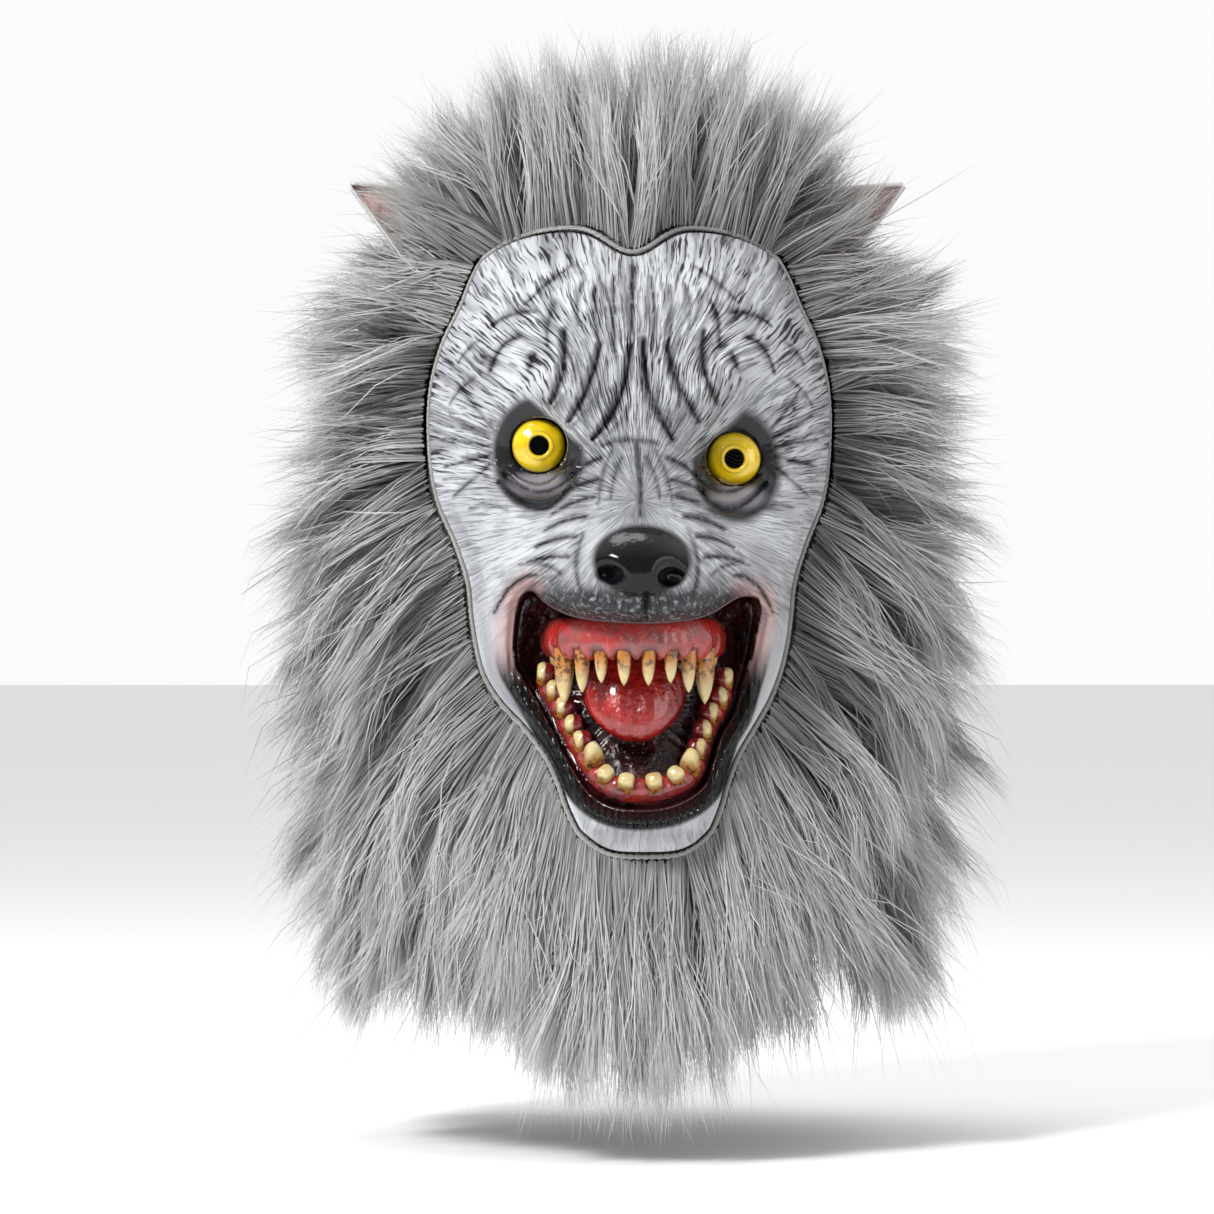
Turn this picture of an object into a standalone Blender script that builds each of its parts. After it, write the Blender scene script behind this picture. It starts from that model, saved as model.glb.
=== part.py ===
"""Werewolf mask: a cast latex face on a fabric hood with long grey fur.

Metres, +Z up. The mask faces -Y. The origin is inside the hood's crown, where
it sits on top of the head. Left and right are the viewer's, so left is -X.
Azimuths are in degrees round +Z, 0 at the front and positive towards +X.
"""

import math

import bmesh
import bpy
import numpy as np
from mathutils import Matrix, Vector

for old in list(bpy.data.objects):
    bpy.data.objects.remove(old)

# The hood, outside. Its widest ring is level with the eyes.
DOME_HEIGHT = 0.112
HOOD_HALF_WIDTH = 0.097
HOOD_FRONT = 0.100
HOOD_BACK = 0.102
HOOD_DROP = 0.218
HOOD_WALL = 0.002
DOME_POWER = 3.0
HOOD_SEGMENTS = 20
HOOD_RINGS_ROUND = 12

# The latex face.
FACE_HALF_WIDTH = 0.092
FACE_LENGTH = 0.280
FACE_BELOW_CROWN = 0.014
LATEX_WALL = 0.0022
SEAM_GAP = 0.0005
HOOD_UNDERLAP = 0.0045
RELIEF = 0.010
SNOUT_LENGTH = 0.052
NOSE_RISE = 0.011
LIP_RISE = 0.005
EDGING_RADIUS = 0.0011
FACE_COLUMNS = 20
FACE_ROWS = 26

# The eyes.
EYE_RADIUS = 0.0123
EYE_WALL = 0.002
EYE_HEIGHT = 0.010
PUPIL_RADIUS = 0.0043

# Inside the mouth.
FIT_GAP = 0.0003
LINING_WALL = 0.0015
LINING_SINK = 0.0122
UPPER_GUM_HALF_WIDTH = 0.0365
UPPER_GUM_REACH = 0.050
UPPER_GUM_RADIUS = 0.0058
LOWER_GUM_BEHIND_LIP = 0.0065
LOWER_GUM_RADIUS = 0.0055
TONGUE_HALF_WIDTH = 0.0235
TONGUE_HALF_LENGTH = 0.023
TONGUE_HALF_DEPTH = 0.012
FANG_LENGTH = 0.027
TOOTH_RADIUS = 0.0040
TOOTH_ROOT = 0.003

# The ears.
EAR_LENGTH = 0.068
EAR_HALF_WIDTH = 0.023
EAR_WALL = 0.002
EAR_CUP = 0.010

# The fur.
FUR_BACKING = 0.004
FUR_GAP = 0.0004
FUR_LENGTH = 0.115
LOCK_HALF_WIDTH = 0.026
LOCK_HALF_DEPTH = 0.0107
LOCK_ROOT = 0.014
PANEL_KERF = 0.0006
FUR_FROM_RIM = 0.0045
CHIN_PANEL_AZIMUTH = 35.0
BACK_PANEL_AZIMUTH = 120.0
CROWN_EDGE_RISE = 43.0

RING_Z = HOOD_WALL - DOME_HEIGHT
HEM_Z = RING_Z - HOOD_DROP
FACE_STAND = LATEX_WALL + SEAM_GAP

# How the hood narrows behind the jaw and reaches forward under the chin.
# down (share of HOOD_DROP), half width, front, back (shares of the ring's)
HOOD_RINGS = (
    (0.00, 1.00, 1.00, 1.00),
    (0.23, 1.00, 0.98, 0.96),
    (0.41, 0.96, 0.99, 0.90),
    (0.64, 0.95, 1.10, 0.88),
    (0.80, 0.97, 1.23, 0.90),
    (0.88, 1.01, 1.23, 0.93),
    (1.00, 1.09, 1.13, 1.00),
)

# The face's edge: down (share of FACE_LENGTH), half width and how far the jaw
# leans to the right (shares of FACE_HALF_WIDTH)
FACE_EDGE = (
    (0.00, 0.66, 0.0),
    (0.07, 0.78, 0.0),
    (0.12, 0.84, 0.0),
    (0.18, 0.93, 0.0),
    (0.25, 0.99, 0.0),
    (0.34, 1.00, 0.0),
    (0.44, 0.95, 0.0),
    (0.50, 0.87, 0.0),
    (0.57, 0.80, 0.0),
    (0.63, 0.78, 0.0),
    (0.68, 0.755, 0.0),
    (0.72, 0.72, 0.0),
    (0.76, 0.655, 0.012),
    (0.80, 0.56, 0.032),
    (0.85, 0.455, 0.042),
    (0.89, 0.40, 0.045),
    (0.93, 0.36, 0.046),
    (0.965, 0.31, 0.048),
    (1.00, 0.24, 0.050),
)

# The muzzle above and the jaw below: down (share of FACE_LENGTH),
# rise (share of SNOUT_LENGTH), half width (share of FACE_HALF_WIDTH)
SNOUT = (
    (0.26, 0.00, 0.20),
    (0.31, 0.02, 0.22),
    (0.38, 0.20, 0.30),
    (0.43, 0.50, 0.34),
    (0.49, 0.82, 0.45),
    (0.53, 0.97, 0.52),
    (0.58, 1.00, 0.56),
    (0.63, 0.92, 0.58),
    (0.70, 0.60, 0.56),
    (0.80, 0.26, 0.48),
    (0.90, 0.20, 0.42),
    (0.97, 0.24, 0.36),
    (1.00, 0.16, 0.34),
)

# Folds that come in pairs: across and down to the middle, half width and half
# height (shares of the face), tilt in degrees, rise (share of RELIEF)
FOLDS = (
    ("forehead lobe", 0.36, 0.13, 0.25, 0.10, 0, 0.65),
    ("brow", 0.35, 0.262, 0.27, 0.030, 33, 0.95),
    ("temple", 0.80, 0.22, 0.20, 0.07, 0, 0.20),
    ("socket", 0.48, 0.365, 0.18, 0.066, 0, -1.25),
    ("cheekbone", 0.74, 0.47, 0.25, 0.075, 0, 0.80),
    ("smile fold", 0.60, 0.565, 0.30, 0.035, -38, 0.65),
    ("muzzle pad", 0.26, 0.575, 0.17, 0.045, 0, 0.40),
    ("nostril", 0.150, 0.560, 0.055, 0.018, 0, -0.55),
)

# The mouth's edge, clockwise from the middle of the upper lip:
# across (share of FACE_HALF_WIDTH), down (share of FACE_LENGTH)
MOUTH = (
    (0.049, 0.635),
    (0.298, 0.627),
    (0.411, 0.610),
    (0.474, 0.598),
    (0.536, 0.592),
    (0.610, 0.597),
    (0.626, 0.622),
    (0.611, 0.651),
    (0.586, 0.692),
    (0.548, 0.733),
    (0.504, 0.782),
    (0.435, 0.819),
    (0.391, 0.864),
    (0.347, 0.897),
    (0.249, 0.920),
    (0.112, 0.934),
    (-0.075, 0.934),
    (-0.200, 0.917),
    (-0.275, 0.889),
    (-0.362, 0.840),
    (-0.450, 0.782),
    (-0.538, 0.733),
    (-0.587, 0.700),
    (-0.593, 0.660),
    (-0.575, 0.610),
    (-0.540, 0.588),
    (-0.494, 0.583),
    (-0.450, 0.598),
    (-0.377, 0.614),
    (-0.249, 0.628),
)

# The eyes' middles, the right one a little lower: across, down (shares)
EYES = (("left", -0.460, 0.350), ("right", 0.501, 0.371))

# The lower gum ends this share of the face's length down.
LOWER_GUM_TOP = 0.700

# The upper teeth of one side: across the gum (share of its half width),
# length (share of FANG_LENGTH), radius (share of TOOTH_RADIUS)
UPPER_TEETH = (
    (0.15, 0.68, 0.85),
    (0.42, 0.64, 0.80),
    (0.65, 0.80, 0.88),
    (0.86, 1.00, 1.12),
    (0.975, 0.42, 0.62),
)

# The lower teeth of one side: along the gum from its middle (share of half its
# length), length (share of FANG_LENGTH), root and tip radius (shares of TOOTH_RADIUS)
LOWER_TEETH = (
    (0.075, 0.32, 1.00, 0.80),
    (0.215, 0.32, 1.00, 0.80),
    (0.365, 0.50, 1.15, 0.35),
    (0.495, 0.34, 0.98, 0.80),
    (0.608, 0.34, 0.98, 0.80),
    (0.720, 0.34, 0.98, 0.80),
    (0.832, 0.34, 0.98, 0.80),
    (0.944, 0.34, 0.98, 0.80),
)

# Rows of locks: panel, height of the roots (share of DOME_HEIGHT above the
# widest ring, of HOOD_DROP below it), first and last azimuth, number, length
# (share of FUR_LENGTH), rise at the root and at the tip in degrees,
# half width (share of LOCK_HALF_WIDTH)
LOCK_ROWS = (
    ("crown", 0.91, -42, 42, 4, 0.74, 74, 64, 1.15),
    ("crown", 0.91, 84, 276, 4, 0.56, 58, 42, 1.60),
    ("crown", 0.985, 36, 324, 3, 0.54, 78, 62, 1.40),
    ("crown", 0.998, 180, 180, 1, 0.46, 84, 74, 1.30),
    ("crown", 0.80, 66, 294, 5, 0.58, 52, 42, 1.60),
    ("side", 0.54, 70, 110, 2, 0.58, 14, -8, 1.30),
    ("side", 0.28, 80, 110, 2, 0.60, 2, -18, 1.30),
    ("side", -0.03, 82, 110, 2, 0.62, -10, -28, 1.30),
    ("side", -0.22, 72, 110, 3, 0.75, -22, -44, 1.15),
    ("side", -0.42, 60, 110, 3, 0.88, -30, -54, 1.25),
    ("side", -0.64, 48, 110, 4, 1.00, -38, -62, 1.10),
    ("side", -0.88, 43, 110, 4, 0.92, -48, -70, 1.15),
    ("back", 0.54, 133, 227, 3, 0.50, 12, -10, 1.35),
    ("back", 0.18, 133, 227, 3, 0.54, -2, -28, 1.35),
    ("back", -0.18, 133, 227, 3, 0.64, -20, -48, 1.35),
    ("back", -0.52, 133, 227, 3, 0.80, -34, -62, 1.35),
    ("back", -0.86, 133, 227, 4, 0.92, -50, -74, 1.25),
    ("chin", -0.875, -24, 24, 3, 0.92, -50, -80, 0.90),
    ("chin", -0.95, -26, 26, 4, 0.88, -56, -82, 0.90),
)


def through(rows, column, at):
    """A smooth curve through one column of a table, over its first column."""
    keys = np.array([row[0] for row in rows])
    values = np.array([row[column] for row in rows])
    slopes = np.gradient(values, keys)
    at = np.clip(at, keys[0], keys[-1])
    i = np.clip(np.searchsorted(keys, at, side="right") - 1, 0, len(keys) - 2)
    step = keys[i + 1] - keys[i]
    t = (at - keys[i]) / step
    return (
        (2 * t**3 - 3 * t**2 + 1) * values[i]
        + (t**3 - 2 * t**2 + t) * step * slopes[i]
        + (3 * t**2 - 2 * t**3) * values[i + 1]
        + (t**3 - t**2) * step * slopes[i + 1]
    )


def hood_reach(z, grow=0.0):
    """Half width, front and back of the hood's section at a height."""
    up = np.clip((z - RING_Z) / (DOME_HEIGHT + grow), 0, 1)
    dome = (1 - up**DOME_POWER) ** (1 / DOME_POWER)
    down = np.clip((RING_Z - z) / HOOD_DROP, 0, 1)
    return tuple(
        (size * through(HOOD_RINGS, column, down) + grow) * dome
        for size, column in ((HOOD_HALF_WIDTH, 1), (HOOD_FRONT, 2), (HOOD_BACK, 3))
    )


def hood_point(azimuth, z, grow=0.0):
    """The point of the hood's surface, grown outwards, at an azimuth in radians."""
    wide, front, back = hood_reach(z, grow)
    ahead = math.cos(azimuth)
    return Vector(
        (wide * math.sin(azimuth), -(front if ahead > 0 else back) * ahead, z)
    )


def face_z(down):
    return -FACE_BELOW_CROWN - down * FACE_LENGTH


def face_place(u, v):
    """Where a place of the face, -1 to 1 across and 0 to 1 down, lies in X and Z."""
    dip = 0.045 * np.exp(-((u / 0.20) ** 2))
    top = face_z(dip + 0.045 * u**4)
    bottom = face_z(1 - 0.036 * u**4)
    z = top * (1 - v) + bottom * v
    down = (-FACE_BELOW_CROWN - z) / FACE_LENGTH
    across = 0.5 * u + 0.5 * np.sin(u * math.pi / 2)
    across = through(FACE_EDGE, 1, down) * across + through(FACE_EDGE, 2, down)
    return FACE_HALF_WIDTH * across, z


def rounded_outline(points, rounds):
    """A closed outline with each side halved, the new points on a smooth curve."""
    for _ in range(rounds):
        count = len(points)
        finer = []
        for i, (x, z) in enumerate(points):
            before, after = points[i - 1], points[(i + 1) % count]
            beyond = points[(i + 2) % count]
            finer.append((x, z))
            finer.append(
                tuple(
                    (9 * (here + there) - far - near) / 16
                    for here, there, far, near in zip(
                        (x, z), after, before, beyond, strict=True
                    )
                )
            )
        points = finer
    return points


def inset_outline(points, by):
    """A closed clockwise outline moved inwards."""
    moved = []
    for i, point in enumerate(points):
        before = Vector(points[i - 1])
        after = Vector(points[(i + 1) % len(points)])
        along = (after - before).normalized()
        moved.append((point[0] + along.y * by, point[1] - along.x * by))
    return moved


MOUTH_EDGE = [(across * FACE_HALF_WIDTH, face_z(down)) for across, down in MOUTH]
MOUTH_FINE = np.array(rounded_outline(MOUTH_EDGE, 2))


def mouth_distance(x, z):
    """Distance to the mouth's edge, negative inside the mouth."""
    ends = np.roll(MOUTH_FINE, -1, axis=0)
    sides = ends - MOUTH_FINE
    away = np.stack([x, z], axis=-1)[..., None, :] - MOUTH_FINE
    share = (away * sides).sum(-1) / (sides * sides).sum(-1)
    nearest = away - np.clip(share, 0, 1)[..., None] * sides
    reach = np.sqrt((nearest**2).sum(-1)).min(-1)
    starts_over = MOUTH_FINE[:, 1] > np.asarray(z)[..., None]
    ends_over = ends[:, 1] > np.asarray(z)[..., None]
    crossing = MOUTH_FINE[:, 0] + sides[:, 0] * (
        np.asarray(z)[..., None] - MOUTH_FINE[:, 1]
    ) / np.where(sides[:, 1] == 0, 1e-9, sides[:, 1])
    hits = (starts_over != ends_over) & (np.asarray(x)[..., None] < crossing)
    return np.where(hits.sum(-1) % 2 == 1, -reach, reach)


def base_depth(x, z):
    """How far forward the latex would lie on the hood with no relief."""
    wide, front, _ = hood_reach(z, FACE_STAND)
    return front * np.sqrt(np.clip(1 - (x / wide) ** 2, 0, 1))


def face_depth(x, z):
    """How far forward of the origin the latex's outer surface lies."""
    down = (-FACE_BELOW_CROWN - z) / FACE_LENGTH
    across = x / FACE_HALF_WIDTH - through(FACE_EDGE, 2, down)
    relief = SNOUT_LENGTH * through(SNOUT, 1, down)
    relief = relief / (1 + (np.abs(across) / through(SNOUT, 2, down)) ** 4)
    for _, middle, height, wide, tall, tilt, rise in FOLDS:
        turn = math.radians(tilt)
        for side in (-1, 1):
            right = (across * side - middle) / wide
            up = (height - down) / tall
            if tilt:
                dx = (across * side - middle) * FACE_HALF_WIDTH
                dz = (height - down) * FACE_LENGTH
                right = dx * math.cos(turn) + dz * math.sin(turn)
                up = dz * math.cos(turn) - dx * math.sin(turn)
                right = right / (wide * FACE_HALF_WIDTH)
                up = up / (tall * FACE_LENGTH)
            relief = relief + RELIEF * rise * np.exp(-(right**2) - up**2)
    nose = (across / 0.24) ** 2 + ((down - 0.535) / 0.060) ** 2
    relief = relief + NOSE_RISE * np.exp(-(nose**2))
    lip = mouth_distance(x, z)
    relief = relief + LIP_RISE * np.exp(-(((lip - LIP_RISE) / LIP_RISE) ** 2))
    relief = relief - 0.8 * LIP_RISE * np.exp(-((lip / (0.5 * LIP_RISE)) ** 2))
    edge = (through(FACE_EDGE, 1, down) - np.abs(across)) * FACE_HALF_WIDTH
    inward = np.minimum(edge * 1.6, (1 - down) * FACE_LENGTH)
    inward = np.minimum(inward, down * FACE_LENGTH)
    calm = np.clip(inward / (2.6 * HOOD_UNDERLAP), 0, 1)
    return base_depth(x, z) + relief * calm * calm * (3 - 2 * calm)


def material(name, colour, roughness):
    made = bpy.data.materials.new(name)
    made.use_nodes = True
    shader = made.node_tree.nodes["Principled BSDF"]
    shader.inputs["Base Color"].default_value = (*colour, 1.0)
    shader.inputs["Roughness"].default_value = roughness
    shader.inputs["Metallic"].default_value = 0.0
    return made


LATEX = material("latex", (0.62, 0.62, 0.65), 0.45)
FABRIC = material("hood fabric", (0.10, 0.10, 0.10), 0.95)
KNIT = material("knit edging", (0.45, 0.45, 0.43), 0.9)
FUR = material("acrylic fur", (0.34, 0.34, 0.33), 0.7)
EYE = material("eye", (0.90, 0.68, 0.02), 0.2)
MOUTH_RED = material("mouth", (0.10, 0.010, 0.012), 0.3)
GUM = material("gum", (0.50, 0.03, 0.03), 0.25)
TONGUE = material("tongue", (0.55, 0.02, 0.02), 0.2)
IVORY = material("tooth", (0.72, 0.55, 0.28), 0.3)
EAR = material("ear", (0.55, 0.38, 0.36), 0.6)

mask = bpy.data.collections.new("werewolf_mask")
tools = bpy.data.collections.new("cutters")
bpy.context.scene.collection.children.link(mask)
bpy.context.scene.collection.children.link(tools)


def add_object(name, mesh, paint, helper=False):
    made = bpy.data.objects.new(name, mesh)
    (tools if helper else mask).objects.link(made)
    if helper:
        made.hide_render = True
        made.display_type = "WIRE"
    else:
        mesh.materials.append(paint)
        mesh.shade_smooth()
    return made


def mesh_of(name, shape):
    """A mesh whose faces point outward, also those of a closed slender form."""
    made = bpy.data.meshes.new(name)
    bmesh.ops.recalc_face_normals(shape, faces=shape.faces)
    closed = all(edge.is_manifold for edge in shape.edges)
    if closed and shape.calc_volume(signed=True) < 0:
        bmesh.ops.reverse_faces(shape, faces=shape.faces)
    shape.to_mesh(made)
    shape.free()
    return made


def bake(made, paint=None, main_body=False):
    """Turns an object with modifiers, or a curve, into a plain mesh object."""
    loose_caps = made.type == "CURVE"
    bpy.context.view_layer.update()
    graph = bpy.context.evaluated_depsgraph_get()
    mesh = bpy.data.meshes.new_from_object(made.evaluated_get(graph))
    shape = bmesh.new()
    shape.from_mesh(mesh)
    if loose_caps:
        bmesh.ops.remove_doubles(shape, verts=shape.verts, dist=2e-6)
    if main_body:
        drop_scraps(shape)
    shape.to_mesh(mesh)
    shape.free()
    name, helper, place = made.name, made.hide_render, made.matrix_world.copy()
    bpy.data.objects.remove(made)
    mesh.materials.clear()
    solid = add_object(name, mesh, paint, helper)
    solid.matrix_world = place
    return solid


def drop_scraps(shape):
    """Keeps the body that holds the most faces, and drops what a cut left loose."""
    left, bodies = set(shape.verts), []
    while left:
        body, edge = set(), [left.pop()]
        while edge:
            vertex = edge.pop()
            body.add(vertex)
            for side in vertex.link_edges:
                other = side.other_vert(vertex)
                if other in left:
                    left.remove(other)
                    edge.append(other)
        bodies.append(body)
    bodies.sort(key=len)
    for body in bodies[:-1]:
        bmesh.ops.delete(shape, geom=list(body), context="VERTS")


def boolean(made, other, operation="DIFFERENCE", solver="EXACT"):
    cut = made.modifiers.new(operation.lower(), "BOOLEAN")
    cut.operation = operation
    cut.solver = solver
    if isinstance(other, bpy.types.Collection):
        cut.operand_type = "COLLECTION"
        cut.collection = other
    else:
        cut.object = other
    return cut


def solidify(made, thickness, offset=-1.0):
    wall = made.modifiers.new("wall", "SOLIDIFY")
    wall.thickness = thickness
    wall.offset = offset
    wall.use_even_offset = True
    return wall


def hood_shape(grow, floor=None):
    """A sphere's grid laid on the hood's form: open at the hem, or closed by a
    shallow cone whose tip is at the floor's height."""
    shape = bmesh.new()
    bmesh.ops.create_uvsphere(
        shape, u_segments=HOOD_SEGMENTS, v_segments=HOOD_RINGS_ROUND, radius=1.0
    )
    lowest = math.pi / 2 - math.pi / HOOD_RINGS_ROUND
    for vertex in list(shape.verts):
        rise = math.asin(max(-1.0, min(1.0, vertex.co.z)))
        azimuth = math.atan2(vertex.co.x, -vertex.co.y)
        if rise > math.pi / 2 - 1e-4:
            vertex.co = (0, 0, RING_Z + DOME_HEIGHT + grow)
        elif rise > 1e-4:
            lift = math.sin(rise) ** (2 / DOME_POWER)
            z = RING_Z + (DOME_HEIGHT + grow) * lift
            vertex.co = hood_point(azimuth, z, grow)
        elif rise > 1e-4 - math.pi / 2:
            z = RING_Z - HOOD_DROP * min(1.0, -rise / lowest)
            vertex.co = hood_point(azimuth, z, grow)
        elif floor is not None:
            vertex.co = (0, 0, floor)
        else:
            shape.verts.remove(vertex)
    bmesh.ops.triangulate(shape, faces=shape.faces, quad_method="FIXED")
    return shape


def flat_outline(name, points, half_thickness, turn):
    """A cutter: a filled outline with a thickness along its own Z."""
    outline = bpy.data.curves.new(name, "CURVE")
    outline.dimensions = "2D"
    outline.fill_mode = "BOTH"
    outline.extrude = half_thickness
    line = outline.splines.new("POLY")
    line.points.add(len(points) - 1)
    line.use_cyclic_u = True
    for point, (a, b) in zip(line.points, points, strict=True):
        point.co = (a, b, 0, 1)
    made = bpy.data.objects.new(name, outline)
    tools.objects.link(made)
    made.hide_render = True
    made.matrix_world = turn
    return bake(made)


def tube(name, points, radii, sides, closed=False, paint=None, helper=False):
    """A bevelled curve through the points, thinner where its radii are."""
    path = bpy.data.curves.new(name, "CURVE")
    path.dimensions = "3D"
    path.bevel_depth = 1.0
    path.bevel_resolution = max(0, sides // 2 - 2)
    path.use_fill_caps = not closed
    line = path.splines.new("POLY")
    line.points.add(len(points) - 1)
    line.use_cyclic_u = closed
    for point, place, radius in zip(line.points, points, radii, strict=True):
        point.co = (*place, 1)
        point.radius = radius
    made = bpy.data.objects.new(name, path)
    (tools if helper else mask).objects.link(made)
    made.hide_render = helper
    return bake(made, paint)


# The face's rim as places on the hood: arc across the head and height.
ARC = HOOD_HALF_WIDTH


def rim_places():
    """The rim, clockwise from its top left corner, through the face's own edge."""
    across = np.linspace(-1, 1, FACE_COLUMNS + 1)
    down = np.linspace(0, 1, FACE_ROWS + 1)
    edge = [(u, 0.0) for u in across[:-1]] + [(1.0, v) for v in down[:-1]]
    edge += [(u, 1.0) for u in across[:0:-1]] + [(-1.0, v) for v in down[:0:-1]]
    places = []
    for u, v in edge:
        x, z = face_place(u, v)
        wide = hood_reach(z, FACE_STAND)[0]
        places.append((ARC * math.asin(max(-1, min(1, x / wide))), float(z)))
    return places


def rim_points(inset, grow):
    return [
        hood_point(arc / ARC, z, grow)
        for arc, z in inset_outline(rim_places(), inset)
    ]


def fan_cutter(name, inset):
    """What lies behind and before the face's rim, seen from the head's axis."""
    ring = rim_points(inset, 0.0)[::2]
    shape = bmesh.new()
    loops = [
        [shape.verts.new((p.x * far, p.y * far, p.z)) for p in ring]
        for far in (0.55, 1.0, 1.5, 6.0)
    ]
    bottom = shape.faces.new(loops[0])
    top = shape.faces.new(loops[-1])
    for near, far in zip(loops, loops[1:]):
        for i in range(len(ring)):
            j = (i + 1) % len(ring)
            shape.faces.new((near[i], near[j], far[j], far[i]))
    bmesh.ops.triangulate(shape, faces=[bottom, top])
    return add_object(name, mesh_of(name, shape), None, helper=True)


FACE_ON = Matrix.Rotation(math.pi / 2, 4, "X")

# The hood: one fabric shell with the face's opening, a lap narrower than the latex.
hood = add_object("hood", mesh_of("hood", hood_shape(0.0)), FABRIC)
solidify(hood, HOOD_WALL)
boolean(hood, fan_cutter("face_opening_cutter", HOOD_UNDERLAP))
hood = bake(hood, FABRIC, main_body=True)

# The face: a grid laid on the relief, given the latex's wall.
shape = bmesh.new()
bmesh.ops.create_grid(
    shape, x_segments=FACE_COLUMNS, y_segments=FACE_ROWS, size=1.0
)
for vertex in shape.verts:
    x, z = face_place(vertex.co.x, (1 - vertex.co.y) / 2)
    vertex.co = (x, -face_depth(x, z), z)
face = add_object("face_shell", mesh_of("face_shell", shape), LATEX)
solidify(face, LATEX_WALL)
mouth_cutter = flat_outline("mouth_cutter", MOUTH_EDGE, 0.3, FACE_ON)
boolean(face, mouth_cutter)

# The eyes: turned domes with a skirt and a hole to see through.
EYE_PROFILE = (
    (PUPIL_RADIUS, EYE_HEIGHT),
    (0.62 * EYE_RADIUS, 0.96 * EYE_HEIGHT),
    (0.86 * EYE_RADIUS, 0.84 * EYE_HEIGHT),
    (EYE_RADIUS, 0.58 * EYE_HEIGHT),
    (EYE_RADIUS, 0.0),
    (EYE_RADIUS - EYE_WALL, 0.0),
    (EYE_RADIUS - EYE_WALL, 0.52 * EYE_HEIGHT),
    (0.60 * EYE_RADIUS, 0.96 * EYE_HEIGHT - EYE_WALL),
    (PUPIL_RADIUS, EYE_HEIGHT - EYE_WALL),
)
for side, across, down in EYES:
    x, z = across * FACE_HALF_WIDTH, face_z(down)
    front = -float(face_depth(x, z)) - 0.45 * EYE_HEIGHT
    shape = bmesh.new()
    ring = [shape.verts.new((r, 0, h)) for r, h in EYE_PROFILE]
    for i in range(len(ring)):
        shape.edges.new((ring[i], ring[(i + 1) % len(ring)]))
    profile = bpy.data.meshes.new(f"{side}_eye")
    shape.to_mesh(profile)
    shape.free()
    eye = add_object(f"{side}_eye", profile, EYE)
    eye.location = (x, front + EYE_HEIGHT, z)
    eye.rotation_euler = (math.pi / 2, 0, 0)
    turned = eye.modifiers.new("turned", "SCREW")
    turned.steps = turned.render_steps = 16
    turned.use_merge_vertices = True
    turned.merge_threshold = 1e-6
    bpy.ops.mesh.primitive_cylinder_add(
        vertices=24,
        radius=EYE_RADIUS + 2 * FIT_GAP,
        depth=8 * EYE_HEIGHT,
        location=(x, front, z),
        rotation=(math.pi / 2, 0, 0),
    )
    socket = bpy.context.object
    socket.name = f"{side}_eye_cutter"
    socket.hide_render = True
    socket.display_type = "WIRE"
    for holder in list(socket.users_collection):
        holder.objects.unlink(socket)
    tools.objects.link(socket)
    boolean(face, socket)
face = bake(face, LATEX, main_body=True)

# The knitted edging lies on the hood just outside the latex.
edging = rim_points(-(EDGING_RADIUS + 3 * SEAM_GAP), EDGING_RADIUS + 1.6 * SEAM_GAP)[::2]
tube(
    "stitched_edge", edging, [EDGING_RADIUS] * len(edging), 4, closed=True, paint=KNIT
)

# The mouth's lining: a bowl from the lips back to the hood's line.
lining_edge = inset_outline(MOUTH_EDGE, 2 * FIT_GAP)
LINING_MIDDLE = (0.0, face_z(0.765))
# share of the way out to the edge, share of the depth from the floor to the lip
LINING_RINGS = (
    (1.00, 1.00),
    (0.99, 0.55),
    (0.985, 0.10),
    (0.93, 0.0),
    (0.45, 0.0),
    (0.0, 0.0),
)


def lining_floor(x, z):
    return base_depth(x, z) - LINING_SINK


def lining_place(point, out, depth):
    x = LINING_MIDDLE[0] + (point[0] - LINING_MIDDLE[0]) * out
    z = LINING_MIDDLE[1] + (point[1] - LINING_MIDDLE[1]) * out
    lip = float(face_depth(*map(np.float64, point))) - 0.2 * LIP_RISE
    floor = float(lining_floor(x, z))
    return (x, -(floor + (lip - floor) * depth), z)


shape = bmesh.new()
bmesh.ops.create_grid(
    shape, x_segments=len(lining_edge), y_segments=len(LINING_RINGS) - 1, size=1.0
)
for vertex in shape.verts:
    around = round((vertex.co.x + 1) / 2 * len(lining_edge)) % len(lining_edge)
    ring = round((vertex.co.y + 1) / 2 * (len(LINING_RINGS) - 1))
    vertex.co = lining_place(lining_edge[around], *LINING_RINGS[ring])
bmesh.ops.remove_doubles(shape, verts=shape.verts, dist=1e-6)
lining = add_object("mouth_lining", mesh_of("mouth_lining", shape), MOUTH_RED)
lining.data.update()
faces_front = sum(face.normal.y * face.area for face in lining.data.polygons) < 0
solidify(lining, LINING_WALL, offset=1.0 if faces_front else -1.0)
lining = bake(lining, MOUTH_RED)

# The upper gum: an arch behind the lip, with the teeth standing in sockets.
upper_z = max(z for x, z in MOUTH_EDGE if abs(x) < 0.2 * UPPER_GUM_HALF_WIDTH)
upper_z -= UPPER_GUM_RADIUS + LINING_WALL + 5 * FIT_GAP
upper_back = LINING_WALL + 3 * FIT_GAP + float(
    lining_floor(UPPER_GUM_HALF_WIDTH - UPPER_GUM_RADIUS, upper_z)
)


def upper_arch(share, drop=0.0):
    """A point of the upper arch at a share of its half width."""
    along = math.asin(max(-1.0, min(1.0, share)))
    return Vector(
        (
            UPPER_GUM_HALF_WIDTH * math.sin(along),
            -upper_back - UPPER_GUM_REACH * math.cos(along),
            upper_z - drop,
        )
    )


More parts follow.
